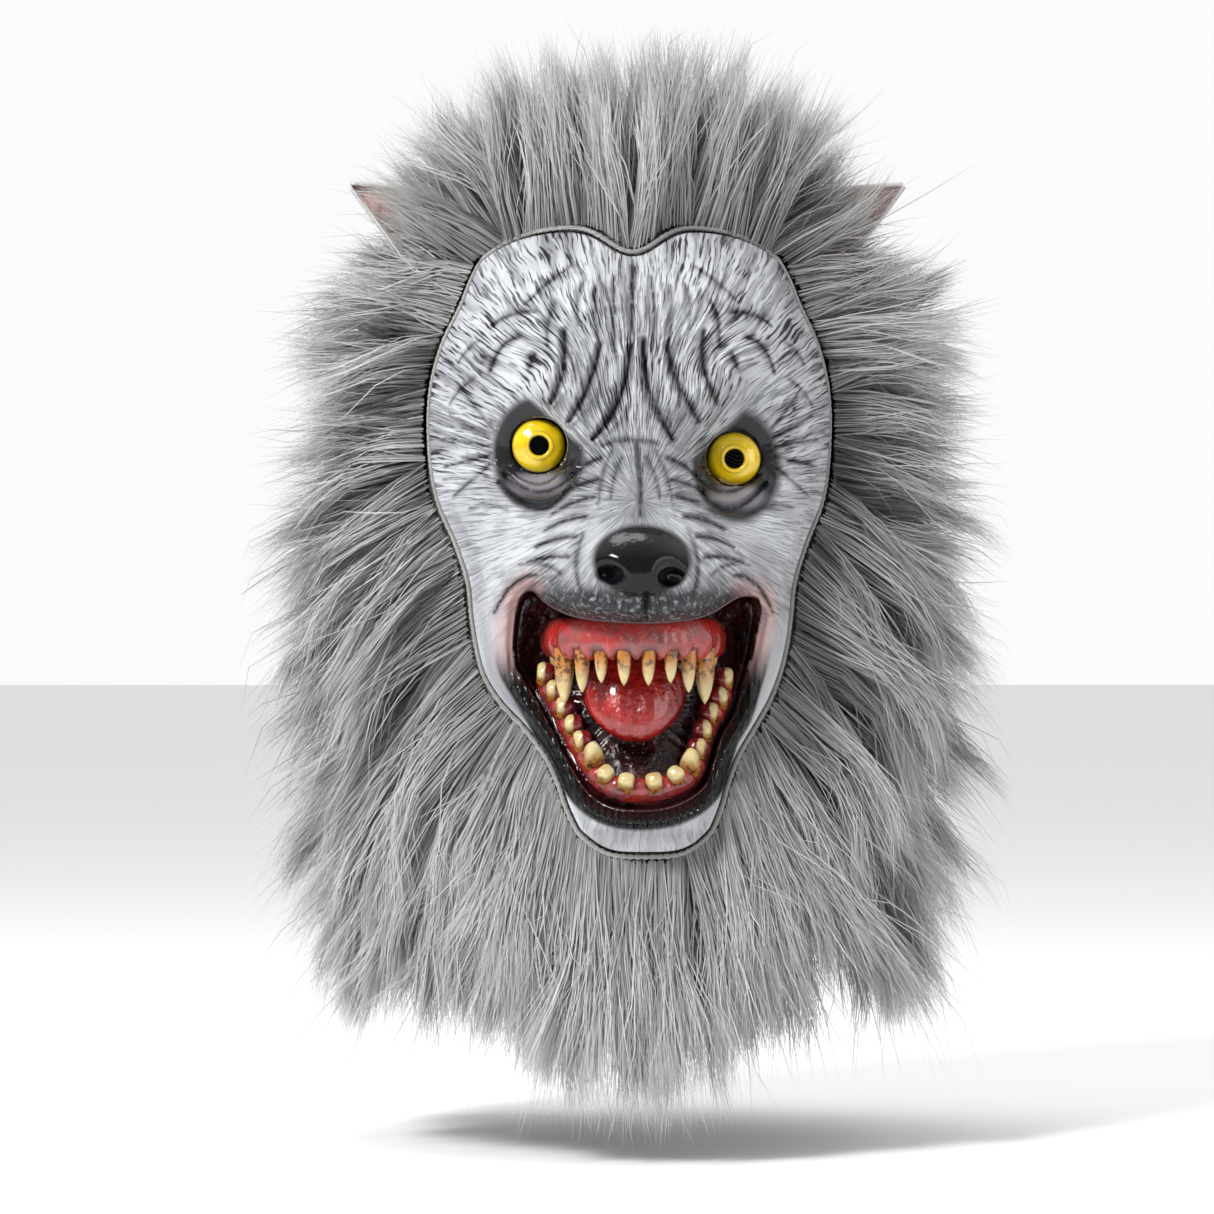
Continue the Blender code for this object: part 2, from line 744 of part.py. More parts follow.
def make_tooth(name, root, axis, length, radii, bend=None):
    """A tooth and the socket cutter round its root."""
    bend = bend or Vector((0, 0, 0))
    stations = (0.0, 0.35, 0.72, 1.0)
    path = [root + axis * (length * t) + bend * (length * t * t) for t in stations]
    tube(name, path, radii, 6, paint=IVORY)
    gap = 1.5 * FIT_GAP
    wider = [path[0] - axis * gap] + path[1:]
    return tube(
        f"{name}_socket", wider, [r + gap for r in radii], 6, helper=True
    )


gum_sockets = bpy.data.collections.new("upper_sockets")
tools.children.link(gum_sockets)
arch = [upper_arch(math.sin(math.radians(a))) for a in range(-90, 91, 15)]
upper_gum = tube(
    "upper_gum", arch, [UPPER_GUM_RADIUS] * len(arch), 8, paint=GUM
)
ordered = sorted(
    [(side * share, *rest) for share, *rest in UPPER_TEETH for side in (-1, 1)]
)
for number, (share, length, radius) in enumerate(ordered, 1):
    reach = length * FANG_LENGTH
    root = upper_arch(share, 0.2 * UPPER_GUM_RADIUS)
    thick = radius * TOOTH_RADIUS
    socket = make_tooth(
        f"upper_tooth_{number:02d}",
        root,
        Vector((0, -0.10, -1)).normalized(),
        reach,
        (thick, 0.95 * thick, 0.60 * thick, 0.12 * thick),
        Vector((0, 0.08, 0)),
    )
    tools.objects.unlink(socket)
    gum_sockets.objects.link(socket)
boolean(upper_gum, gum_sockets)
bake(upper_gum, GUM, main_body=True)

# The lower gum runs inside the lower lip, from one corner of the mouth to the other.
low = inset_outline(
    MOUTH_EDGE, LOWER_GUM_RADIUS + LINING_WALL + 6 * FIT_GAP
)
lower_path = []
for (x, z), (lip_x, lip_z) in zip(low, MOUTH_EDGE, strict=True):
    if lip_z < face_z(LOWER_GUM_TOP):
        lip = float(face_depth(np.float64(lip_x), np.float64(lip_z)))
        lower_path.append(Vector((x, LOWER_GUM_BEHIND_LIP - lip, z)))
lengths = [0.0]
for a, b in zip(lower_path, lower_path[1:]):
    lengths.append(lengths[-1] + (b - a).length)


def along_lower(share):
    """A point of the lower gum's line, -1 and 1 at its ends and 0 at its middle."""
    at = (1 - share) / 2 * lengths[-1]
    return Vector(
        [np.interp(at, lengths, [p[axis] for p in lower_path]) for axis in range(3)]
    )


gum_sockets = bpy.data.collections.new("lower_sockets")
tools.children.link(gum_sockets)
path = [along_lower(share) for share in np.linspace(-1, 1, 13)]
lower_gum = tube(
    "lower_gum", path, [LOWER_GUM_RADIUS] * len(path), 6, paint=GUM
)
ordered = sorted(
    [(side * share, *rest) for share, *rest in LOWER_TEETH for side in (-1, 1)]
)
LOWER_AXIS = Vector((0, -0.80, 0.60))
for number, (share, length, root_radius, tip_radius) in enumerate(ordered, 1):
    thick, tip = root_radius * TOOTH_RADIUS, tip_radius * TOOTH_RADIUS
    root = along_lower(share) + LOWER_AXIS * (LOWER_GUM_RADIUS - TOOTH_ROOT)
    socket = make_tooth(
        f"lower_tooth_{number:02d}",
        root,
        LOWER_AXIS,
        length * FANG_LENGTH,
        (thick, thick, 0.5 * (thick + tip), 0.7 * tip),
    )
    tools.objects.unlink(socket)
    gum_sockets.objects.link(socket)
boolean(lower_gum, gum_sockets)
bake(lower_gum, GUM, main_body=True)

# The tongue: a rounded form that leans forward over the bowl's floor.
shape = bmesh.new()
bmesh.ops.create_uvsphere(shape, u_segments=12, v_segments=8, radius=1.0)
tongue_z = face_z(0.745)
for vertex in shape.verts:
    x = TONGUE_HALF_WIDTH * vertex.co.x * (1 - 0.18 * vertex.co.z**2)
    z = tongue_z + TONGUE_HALF_LENGTH * vertex.co.z
    floor = float(lining_floor(x, z)) + LINING_WALL + 2 * FIT_GAP
    rise = TONGUE_HALF_DEPTH * (1 - vertex.co.y)
    vertex.co = (x, -(floor + rise - 0.15 * (z - tongue_z)), z)
tongue = add_object("tongue", mesh_of("tongue", shape), TONGUE)


def ear_shape(side, wider):
    """A cupped leaf that rises from the hood's side and opens to the front."""
    root = hood_point(side * math.radians(92), RING_Z + 0.80 * DOME_HEIGHT, -0.006)
    axis = Vector((side * 0.87, -0.06, 0.48)).normalized()
    across = Vector((-side * 0.48, 0.0, 0.87)).normalized()
    shape = bmesh.new()
    bmesh.ops.create_grid(shape, x_segments=6, y_segments=6, size=1.0)
    for vertex in shape.verts:
        u, v = vertex.co.x, (vertex.co.y + 1) / 2
        width = (EAR_HALF_WIDTH + wider) * (1 - 0.97 * v**1.6)
        cup = EAR_CUP * (1 - u * u) * (1 - 0.7 * v)
        length = (EAR_LENGTH + 0.006 + wider) * v
        spot = root + axis * length + across * (width * u)
        vertex.co = spot + Vector((0, cup, 0))
    return shape


core = add_object(
    "hood_core_cutter",
    mesh_of("hood_core_cutter", hood_shape(FUR_GAP, HEM_Z - HOOD_WALL * 15)),
    None,
    helper=True,
)
ear_cutters = bpy.data.collections.new("ear_cutters")
tools.children.link(ear_cutters)
for side, sign in (("left", -1), ("right", 1)):
    ear = add_object(f"{side}_ear", mesh_of(f"{side}_ear", ear_shape(sign, 0.0)), EAR)
    solidify(ear, EAR_WALL, 0.0)
    boolean(ear, core)
    bake(ear, EAR, main_body=True)
    room = add_object(
        f"{side}_ear_cutter",
        mesh_of(f"{side}_ear_cutter", ear_shape(sign, 0.002)),
        None,
        helper=True,
    )
    solidify(room, EAR_WALL + 0.006, 0.0)
    room = bake(room)
    tools.objects.unlink(room)
    ear_cutters.objects.link(room)

# The fur. A panel is a share of the backing with its locks fused to it.
face_room = fan_cutter("face_room_cutter", -FUR_FROM_RIM)


def crown_cone(name, shift):
    """The cone that parts the crown's fur from the rest, its tip in the head."""
    top = 0.6
    bpy.ops.mesh.primitive_cone_add(
        vertices=64,
        radius1=0.0,
        radius2=top / math.tan(math.radians(CROWN_EDGE_RISE)),
        depth=top,
        location=(0, 0, RING_Z - 0.010 + shift + top / 2),
    )
    made = bpy.context.object
    made.name = name
    made.hide_render = True
    made.display_type = "WIRE"
    for holder in list(made.users_collection):
        holder.objects.unlink(made)
    tools.objects.link(made)
    return made


def wedge(name, first, last):
    """A sector of the space round the head between two azimuths."""
    middle = math.radians((first + last) / 2)
    half = math.radians(last - first) / 2
    back_off = PANEL_KERF / 2 / max(0.3, math.sin(half))
    corners = [(0.0, 0.0)]
    for share in np.linspace(-1, 1, 5):
        angle = middle + share * half
        corners.append((0.8 * math.sin(angle), -0.8 * math.cos(angle)))
    shifted = [
        (a + back_off * math.sin(middle), b - back_off * math.cos(middle))
        for a, b in corners
    ]
    return flat_outline(name, shifted, 0.8, Matrix.Identity(4))


cone_under = crown_cone("crown_cone_low", 0.0)
cone_over = crown_cone("crown_cone_high", PANEL_KERF * 1.6)


def root_z(height):
    return RING_Z + height * (DOME_HEIGHT if height > 0 else HOOD_DROP)


# along the lock, share of its half width, share of its half depth
LOCK_STATIONS = ((0.0, 0.0, 0.0), (0.33, 1.0, 1.0), (0.70, 0.70, 0.66), (1.0, 0.0, 0.0))


def lock_shape(azimuth, height, length, rise, tip_rise, width):
    """A lock: a spindle bent in the upright plane through the head's axis."""
    angle = math.radians(azimuth)
    root = hood_point(angle, root_z(height), 0.25 * FUR_BACKING)
    outward = Vector((root.x, root.y, 0)).normalized()
    sideways = Vector((-outward.y, outward.x, 0))
    steps = 12
    reach = length * FUR_LENGTH + LOCK_ROOT
    line, heading = [], []
    for step in range(steps):
        turn = math.radians(rise + (tip_rise - rise) * (step + 0.5) / steps)
        heading.append(outward * math.cos(turn) + Vector((0, 0, math.sin(turn))))
        line = line or [root - heading[0] * LOCK_ROOT]
        line.append(line[-1] + heading[-1] * (reach / steps))
    heading.append(heading[-1])
    shape = bmesh.new()
    bands = len(LOCK_STATIONS) - 1
    bmesh.ops.create_uvsphere(shape, u_segments=3, v_segments=bands, radius=1.0)
    for vertex in shape.verts:
        down = 0.5 - math.asin(max(-1, min(1, vertex.co.z))) / math.pi
        station = round(down * bands)
        along, wide, deep = LOCK_STATIONS[station]
        place = line[round(along * steps)]
        up = heading[round(along * steps)].cross(sideways).normalized()
        turn = math.atan2(vertex.co.y, vertex.co.x)
        vertex.co = (
            place
            + sideways * (math.sin(turn) * wide * width * LOCK_HALF_WIDTH)
            + up * (math.cos(turn) * deep * LOCK_HALF_DEPTH)
        )
    return shape


def fur_panel(name, rows, sign, region, region_cut):
    """Backing and locks in one solid, inside its region and clear of face and ears."""
    skin = hood_shape(FUR_GAP + FUR_BACKING, HEM_Z + HOOD_WALL * 15)
    panel = add_object(name, mesh_of(name, skin), FUR)
    number = 0
    for _, height, first, last, count, length, rise, tip_rise, width in rows:
        for azimuth in np.linspace(first, last, count):
            number += 1
            label = f"{name}_lock_{number:02d}"
            one = add_object(
                label,
                mesh_of(
                    label,
                    lock_shape(sign * azimuth, height, length, rise, tip_rise, width),
                ),
                None,
                helper=True,
            )
            boolean(panel, one, "UNION", "MANIFOLD")
    boolean(panel, region, "INTERSECT", "MANIFOLD")
    if region_cut is not None:
        boolean(panel, region_cut, solver="MANIFOLD")
    boolean(panel, core, solver="MANIFOLD")
    boolean(panel, face_room, solver="MANIFOLD")
    boolean(panel, ear_cutters, solver="MANIFOLD")
    return bake(panel, FUR, main_body=True)


def rows_of(panel):
    return [row for row in LOCK_ROWS if row[0] == panel]


fur_panel("crown_fur", rows_of("crown"), 1, cone_over, None)
left = wedge("left_wedge", -BACK_PANEL_AZIMUTH, -CHIN_PANEL_AZIMUTH)
right = wedge("right_wedge", CHIN_PANEL_AZIMUTH, BACK_PANEL_AZIMUTH)
rear = wedge("back_wedge", BACK_PANEL_AZIMUTH, 360 - BACK_PANEL_AZIMUTH)
under = wedge("chin_wedge", -CHIN_PANEL_AZIMUTH, CHIN_PANEL_AZIMUTH)
fur_panel("left_mane", rows_of("side"), -1, left, cone_under)
fur_panel("right_mane", rows_of("side"), 1, right, cone_under)
fur_panel("back_mane", rows_of("back"), 1, rear, cone_under)
fur_panel("chin_fur", rows_of("chin"), 1, under, cone_under)
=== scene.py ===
# %% [markdown]
# # A werewolf mask, made with code
# The mask is two things sewn together: a cast latex face, painted and wiped, and
# a stretch hood that carries long acrylic fur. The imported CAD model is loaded
# first, because it fixes the frame and the size of every piece.

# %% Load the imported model
import math
import bpy
import numpy as np
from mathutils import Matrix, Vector


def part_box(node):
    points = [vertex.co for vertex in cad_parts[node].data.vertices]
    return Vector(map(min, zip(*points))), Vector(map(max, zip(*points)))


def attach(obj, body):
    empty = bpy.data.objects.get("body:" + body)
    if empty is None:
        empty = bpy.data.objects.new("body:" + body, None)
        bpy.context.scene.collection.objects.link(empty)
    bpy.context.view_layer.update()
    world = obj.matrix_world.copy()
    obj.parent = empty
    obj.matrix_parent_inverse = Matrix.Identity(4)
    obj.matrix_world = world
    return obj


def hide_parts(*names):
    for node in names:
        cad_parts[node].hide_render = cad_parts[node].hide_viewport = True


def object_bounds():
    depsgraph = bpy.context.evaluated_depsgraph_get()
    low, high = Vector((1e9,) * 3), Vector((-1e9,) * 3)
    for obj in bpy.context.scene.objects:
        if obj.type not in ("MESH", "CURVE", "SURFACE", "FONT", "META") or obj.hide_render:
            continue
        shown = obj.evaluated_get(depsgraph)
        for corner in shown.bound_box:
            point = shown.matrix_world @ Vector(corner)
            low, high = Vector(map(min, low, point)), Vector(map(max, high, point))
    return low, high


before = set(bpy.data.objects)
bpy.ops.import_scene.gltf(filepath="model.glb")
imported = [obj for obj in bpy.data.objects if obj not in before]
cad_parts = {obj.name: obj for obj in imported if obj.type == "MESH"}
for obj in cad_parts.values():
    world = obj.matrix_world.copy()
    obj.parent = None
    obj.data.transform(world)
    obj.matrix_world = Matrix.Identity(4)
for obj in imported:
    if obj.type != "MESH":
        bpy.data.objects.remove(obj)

cad_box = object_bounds()
print("CAD box:", cad_box)

# %% [markdown]
# ## The view
# The mask is seen from straight ahead, a little from its own right. A long lens
# keeps the muzzle from swelling, as it does on a product photograph.

# %% Camera
CAMERA_DISTANCE = 2.5
CAMERA_TURN = math.radians(-1.5)
SEEN_HEIGHT = 0.546
LOOK_AT = Vector((-0.012, -0.100, -0.185))

lens = bpy.data.cameras.new("camera")
lens.lens = lens.sensor_width * CAMERA_DISTANCE / SEEN_HEIGHT
camera = bpy.data.objects.new("camera", lens)
step_back = Vector((math.sin(CAMERA_TURN), -math.cos(CAMERA_TURN), 0))
camera.location = LOOK_AT + step_back * CAMERA_DISTANCE
camera.rotation_euler = (LOOK_AT - camera.location).to_track_quat("-Z", "Y").to_euler()
bpy.context.scene.collection.objects.link(camera)
bpy.context.scene.camera = camera
print("lens:", round(lens.lens), "mm")

# %% [markdown]
# ## Helpers for meshes
# Every fine piece below is worked out as arrays of points, because skin and fur
# need thousands of them. One helper turns arrays into a mesh object that rides
# on the mask's only body. Another stores a number at each point, which the
# materials read as paint.

# %% Mesh from arrays
def make_piece(name, points, faces, finish):
    """A smooth mesh object from an array of points and lists of corners."""
    mesh = bpy.data.meshes.new(name)
    mesh.from_pydata(np.asarray(points).tolist(), [], faces)
    mesh.materials.append(finish)
    mesh.shade_smooth()
    mesh.update()
    piece = bpy.data.objects.new(name, mesh)
    bpy.context.scene.collection.objects.link(piece)
    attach(piece, "root")
    print(name, len(points), "points", len(faces), "faces")
    return piece


def brush_on(piece, name, values):
    """Stores a number or a vector at each point of a piece, for its material."""
    values = np.asarray(values, dtype=np.float32)
    kind = "FLOAT_VECTOR" if values.ndim == 2 else "FLOAT"
    layer = piece.data.attributes.new(name, kind, "POINT")
    layer.data.foreach_set("vector" if values.ndim == 2 else "value", values.ravel())


def grid_faces(rows, columns, closed=False, offset=0):
    """The quads of a grid of points, stored row by row."""
    across = columns if closed else columns - 1
    row, column = np.mgrid[0 : rows - 1, 0:across]
    after = (column + 1) % columns
    corners = [row * columns + column, row * columns + after]
    corners += [(row + 1) * columns + after, (row + 1) * columns + column]
    return np.stack(corners, axis=-1).reshape(-1, 4) + offset


def unit(arrows):
    """Vectors of length 1 with the same directions."""
    return arrows / np.maximum(np.linalg.norm(arrows, axis=-1, keepdims=True), 1e-9)


def apply_modifiers(piece):
    """Makes a piece's modifiers part of its mesh."""
    bpy.context.view_layer.update()
    graph = bpy.context.evaluated_depsgraph_get()
    mesh = bpy.data.meshes.new_from_object(piece.evaluated_get(graph))
    piece.modifiers.clear()
    piece.data = mesh

# %% [markdown]
# ## The hood's form
# Face and fur both lie on the hood, so its form comes first: a tall dome over a
# ring level with the eyes, and below it a sleeve that narrows behind the jaw and
# reaches forward under the chin.

# %% Sizes of the hood and the face, in metres
DOME_HEIGHT = 0.112
HOOD_HALF_WIDTH = 0.097
HOOD_FRONT = 0.100
HOOD_BACK = 0.102
HOOD_DROP = 0.218
RING_Z = -0.110
HEM_Z = RING_Z - HOOD_DROP
FACE_HALF_WIDTH = 0.092
FACE_LENGTH = 0.280
FACE_BELOW_CROWN = 0.014
LATEX_WALL = 0.0022
FACE_STAND = LATEX_WALL + 0.0005
RELIEF = 0.013
SNOUT_LENGTH = 0.052
NOSE_RISE = 0.011
LIP_RISE = 0.005
CALM_EDGE = 0.0117

# %% The hood's section at any height
# down (share of HOOD_DROP), half width, front and back (shares of the ring's)
HOOD_RINGS = (
    (0.00, 1.00, 1.00, 1.00),
    (0.23, 1.00, 0.98, 0.96),
    (0.41, 0.96, 0.99, 0.90),
    (0.64, 0.95, 1.10, 0.88),
    (0.80, 0.97, 1.23, 0.90),
    (0.88, 1.01, 1.23, 0.93),
    (1.00, 1.09, 1.13, 1.00),
)


def through(rows, column, at):
    """A smooth curve through one column of a table, over its first column."""
    keys = np.array([row[0] for row in rows])
    values = np.array([row[column] for row in rows])
    slopes = np.gradient(values, keys)
    at = np.clip(at, keys[0], keys[-1])
    i = np.clip(np.searchsorted(keys, at, side="right") - 1, 0, len(keys) - 2)
    step = keys[i + 1] - keys[i]
    t = (at - keys[i]) / step
    ends = (2 * t**3 - 3 * t**2 + 1) * values[i] + (3 * t**2 - 2 * t**3) * values[i + 1]
    bends = (t**3 - 2 * t**2 + t) * slopes[i] + (t**3 - t**2) * slopes[i + 1]
    return ends + bends * step


def hood_reach(z, grow=0.0):
    """Half width, front and back of the hood's section at a height."""
    up = np.clip((z - RING_Z) / (DOME_HEIGHT + grow), 0, 1)
    dome = (1 - up**3) ** (1 / 3)
    down = np.clip((RING_Z - z) / HOOD_DROP, 0, 1)
    wide = (HOOD_HALF_WIDTH * through(HOOD_RINGS, 1, down) + grow) * dome
    front = (HOOD_FRONT * through(HOOD_RINGS, 2, down) + grow) * dome
    back = (HOOD_BACK * through(HOOD_RINGS, 3, down) + grow) * dome
    return wide, front, back


def hood_points(azimuth, z, grow=0.0):
    """Points of the hood's surface, grown outwards, at azimuths in radians."""
    wide, front, back = hood_reach(z, grow)
    ahead = np.cos(azimuth)
    y = -np.where(ahead > 0, front, back) * ahead
    return np.stack([wide * np.sin(azimuth), y, z + 0 * azimuth], axis=-1)

# %% [markdown]
# ## The face's main relief
# The latex was cast from a sculpture: a muzzle, heavy brows, deep sockets, high
# cheekbones and an open jaw. It is a height field on the hood, so each form is a
# rounded bump or hollow in a table, and moving one never tears the surface.

# %% Tables of the face
# down (share of FACE_LENGTH), half width and lean (shares of FACE_HALF_WIDTH)
FACE_EDGE = (
    (0.00, 0.66, 0.0),
    (0.07, 0.78, 0.0),
    (0.12, 0.84, 0.0),
    (0.18, 0.93, 0.0),
    (0.25, 0.99, 0.0),
    (0.34, 1.00, 0.0),
    (0.44, 0.95, 0.0),
    (0.50, 0.87, 0.0),
    (0.57, 0.80, 0.0),
    (0.63, 0.78, 0.0),
    (0.68, 0.755, 0.0),
    (0.72, 0.72, 0.0),
    (0.76, 0.655, 0.012),
    (0.80, 0.56, 0.032),
    (0.85, 0.455, 0.042),
    (0.89, 0.40, 0.045),
    (0.93, 0.36, 0.046),
    (0.965, 0.31, 0.048),
    (1.00, 0.24, 0.050),
)
# down, rise (share of SNOUT_LENGTH), half width (share of FACE_HALF_WIDTH)
SNOUT = (
    (0.26, 0.00, 0.20),
    (0.31, 0.02, 0.22),
    (0.38, 0.20, 0.30),
    (0.43, 0.50, 0.34),
    (0.49, 0.82, 0.45),
    (0.53, 0.97, 0.52),
    (0.58, 1.00, 0.56),
    (0.63, 0.92, 0.58),
    (0.70, 0.60, 0.56),
    (0.80, 0.26, 0.48),
    (0.90, 0.20, 0.42),
    (0.97, 0.24, 0.36),
    (1.00, 0.16, 0.34),
)
# form, across, down, half width, half height, tilt, rise (share of RELIEF)
FOLDS = (
    ("forehead lobe", 0.36, 0.13, 0.25, 0.10, 0, 0.65),
    ("brow", 0.35, 0.262, 0.27, 0.030, 33, 0.95),
    ("temple", 0.80, 0.22, 0.20, 0.07, 0, 0.20),
    ("socket", 0.48, 0.365, 0.18, 0.066, 0, -1.25),
    ("cheekbone", 0.74, 0.47, 0.25, 0.075, 0, 0.80),
    ("smile fold", 0.60, 0.565, 0.30, 0.035, -38, 0.65),
    ("muzzle pad", 0.26, 0.575, 0.17, 0.045, 0, 0.40),
    ("nostril", 0.150, 0.560, 0.055, 0.018, 0, -0.55),
)
# the mouth's edge, clockwise from the middle of the upper lip: across, down
MOUTH = (
    (0.049, 0.635), (0.298, 0.627), (0.411, 0.610), (0.474, 0.598), (0.536, 0.592),
    (0.610, 0.597), (0.626, 0.622), (0.611, 0.651), (0.586, 0.692), (0.548, 0.733),
    (0.504, 0.782), (0.435, 0.819), (0.391, 0.864), (0.347, 0.897), (0.249, 0.920),
    (0.112, 0.934), (-0.075, 0.934), (-0.200, 0.917), (-0.275, 0.889), (-0.362, 0.840),
    (-0.450, 0.782), (-0.538, 0.733), (-0.587, 0.700), (-0.593, 0.660), (-0.575, 0.610),
    (-0.540, 0.588), (-0.494, 0.583), (-0.450, 0.598), (-0.377, 0.614), (-0.249, 0.628),
)
# the eyes' middles: across, down
EYES = (("left", -0.460, 0.350), ("right", 0.501, 0.371))

# %% [markdown]
# The mouth and the skin's rim are measured in the same shares, across and down.
# The mouth's edge is given by thirty places and rounded by adding points between
# them, and the distance to it later decides where lips, holes and paint lie.

# %% The mouth's outline
def face_z(down):
    """Height of a share of the face's length."""
    return -FACE_BELOW_CROWN - down * FACE_LENGTH


def face_down(z):
    """Share of the face's length at a height."""
    return (-FACE_BELOW_CROWN - z) / FACE_LENGTH


def halve_sides(points, rounds):
    """A closed outline with more points, the new ones on a smooth curve."""
    points = np.array(points)
    for _ in range(rounds):
        before, beyond = np.roll(points, 1, axis=0), np.roll(points, -2, axis=0)
        after = np.roll(points, -1, axis=0)
        middles = (9 * (points + after) - before - beyond) / 16
        points = np.stack([points, middles], axis=1).reshape(-1, 2)
    return points


mouth_edge = np.array([(u * FACE_HALF_WIDTH, face_z(v)) for u, v in MOUTH])
mouth_fine = halve_sides(mouth_edge, 2)
print("mouth:", np.ptp(mouth_fine, axis=0) * 1000, "mm")


def outline_distance(x, z, outline):
    """Distance to a closed outline, negative inside it."""
    ends = np.roll(outline, -1, axis=0)
    sides = ends - outline
    place = np.stack([x, z], axis=-1).reshape(-1, 1, 2)
    found = []
    for part in np.array_split(place, max(1, len(place) // 20000)):
        away = part - outline
        share = (away * sides).sum(-1) / (sides * sides).sum(-1)
        nearest = away - np.clip(share, 0, 1)[..., None] * sides
        reach = np.sqrt((nearest**2).sum(-1)).min(-1)
        over = outline[:, 1] > part[..., 1]
        ends_over = ends[:, 1] > part[..., 1]
        climb = np.where(sides[:, 1] == 0, 1e-9, sides[:, 1])
        crossing = outline[:, 0] + sides[:, 0] * (part[..., 1] - outline[:, 1]) / climb
        hits = (over != ends_over) & (part[..., 0] < crossing)
        found.append(np.where(hits.sum(-1) % 2 == 1, -reach, reach))
    return np.concatenate(found).reshape(np.shape(x))

# %% [markdown]
# The depth at a place is the hood's own depth plus the snout, the pairs of folds,
# the ball of the nose and a roll round the lips. Near the rim the relief calms
# down to nothing, so that the latex meets the edging flat.

# %% The face's depth
NOSE_MIDDLE = 0.535
NOSE_HALF = (0.24, 0.060)
LIP_GROOVE = 0.8
RIM_SLOPE = 1.6


def base_depth(x, z):
    """How far forward the latex would lie on the hood with no relief."""
    wide, front, _ = hood_reach(z, FACE_STAND)
    return front * np.sqrt(np.clip(1 - (x / wide) ** 2, 0, 1))


def fold_rise(across, down, fold):
    """One pair of rounded bumps or hollows of the table above."""
    _, middle, height, wide, tall, tilt, rise = fold
    turn = math.radians(tilt)
    total = 0
    for side in (-1, 1):
        dx = (across * side - middle) * FACE_HALF_WIDTH
        dz = (height - down) * FACE_LENGTH
        right = (dx * math.cos(turn) + dz * math.sin(turn)) / (wide * FACE_HALF_WIDTH)
        up = (dz * math.cos(turn) - dx * math.sin(turn)) / (tall * FACE_LENGTH)
        total = total + RELIEF * rise * np.exp(-(right**2) - up**2)
    return total


def face_depth(x, z, lip, fine=0.0):
    """How far forward of the origin the latex lies, with its fine relief."""
    down = face_down(z)
    across = x / FACE_HALF_WIDTH - through(FACE_EDGE, 2, down)
    relief = SNOUT_LENGTH * through(SNOUT, 1, down)
    relief = relief / (1 + (np.abs(across) / through(SNOUT, 2, down)) ** 4)
    for fold in FOLDS:
        relief = relief + fold_rise(across, down, fold)
    nose = (across / NOSE_HALF[0]) ** 2 + ((down - NOSE_MIDDLE) / NOSE_HALF[1]) ** 2
    relief = relief + NOSE_RISE * np.exp(-(nose**2))
    relief = relief + LIP_RISE * np.exp(-(((lip - LIP_RISE) / LIP_RISE) ** 2))
    groove = np.exp(-((lip / (0.5 * LIP_RISE)) ** 2))
    relief = relief - LIP_GROOVE * LIP_RISE * groove
    edge = (through(FACE_EDGE, 1, down) - np.abs(across)) * FACE_HALF_WIDTH
    inward = np.minimum(edge * RIM_SLOPE, (1 - down) * FACE_LENGTH)
    inward = np.minimum(inward, down * FACE_LENGTH)
    calm = np.clip(inward / CALM_EDGE, 0, 1)
    calm = calm * calm * (3 - 2 * calm)
    return base_depth(x, z) + (relief + fine) * calm


def lip_distance(x, z):
    """Distance to the mouth's edge, negative inside the mouth."""
    return outline_distance(x, z, mouth_fine)
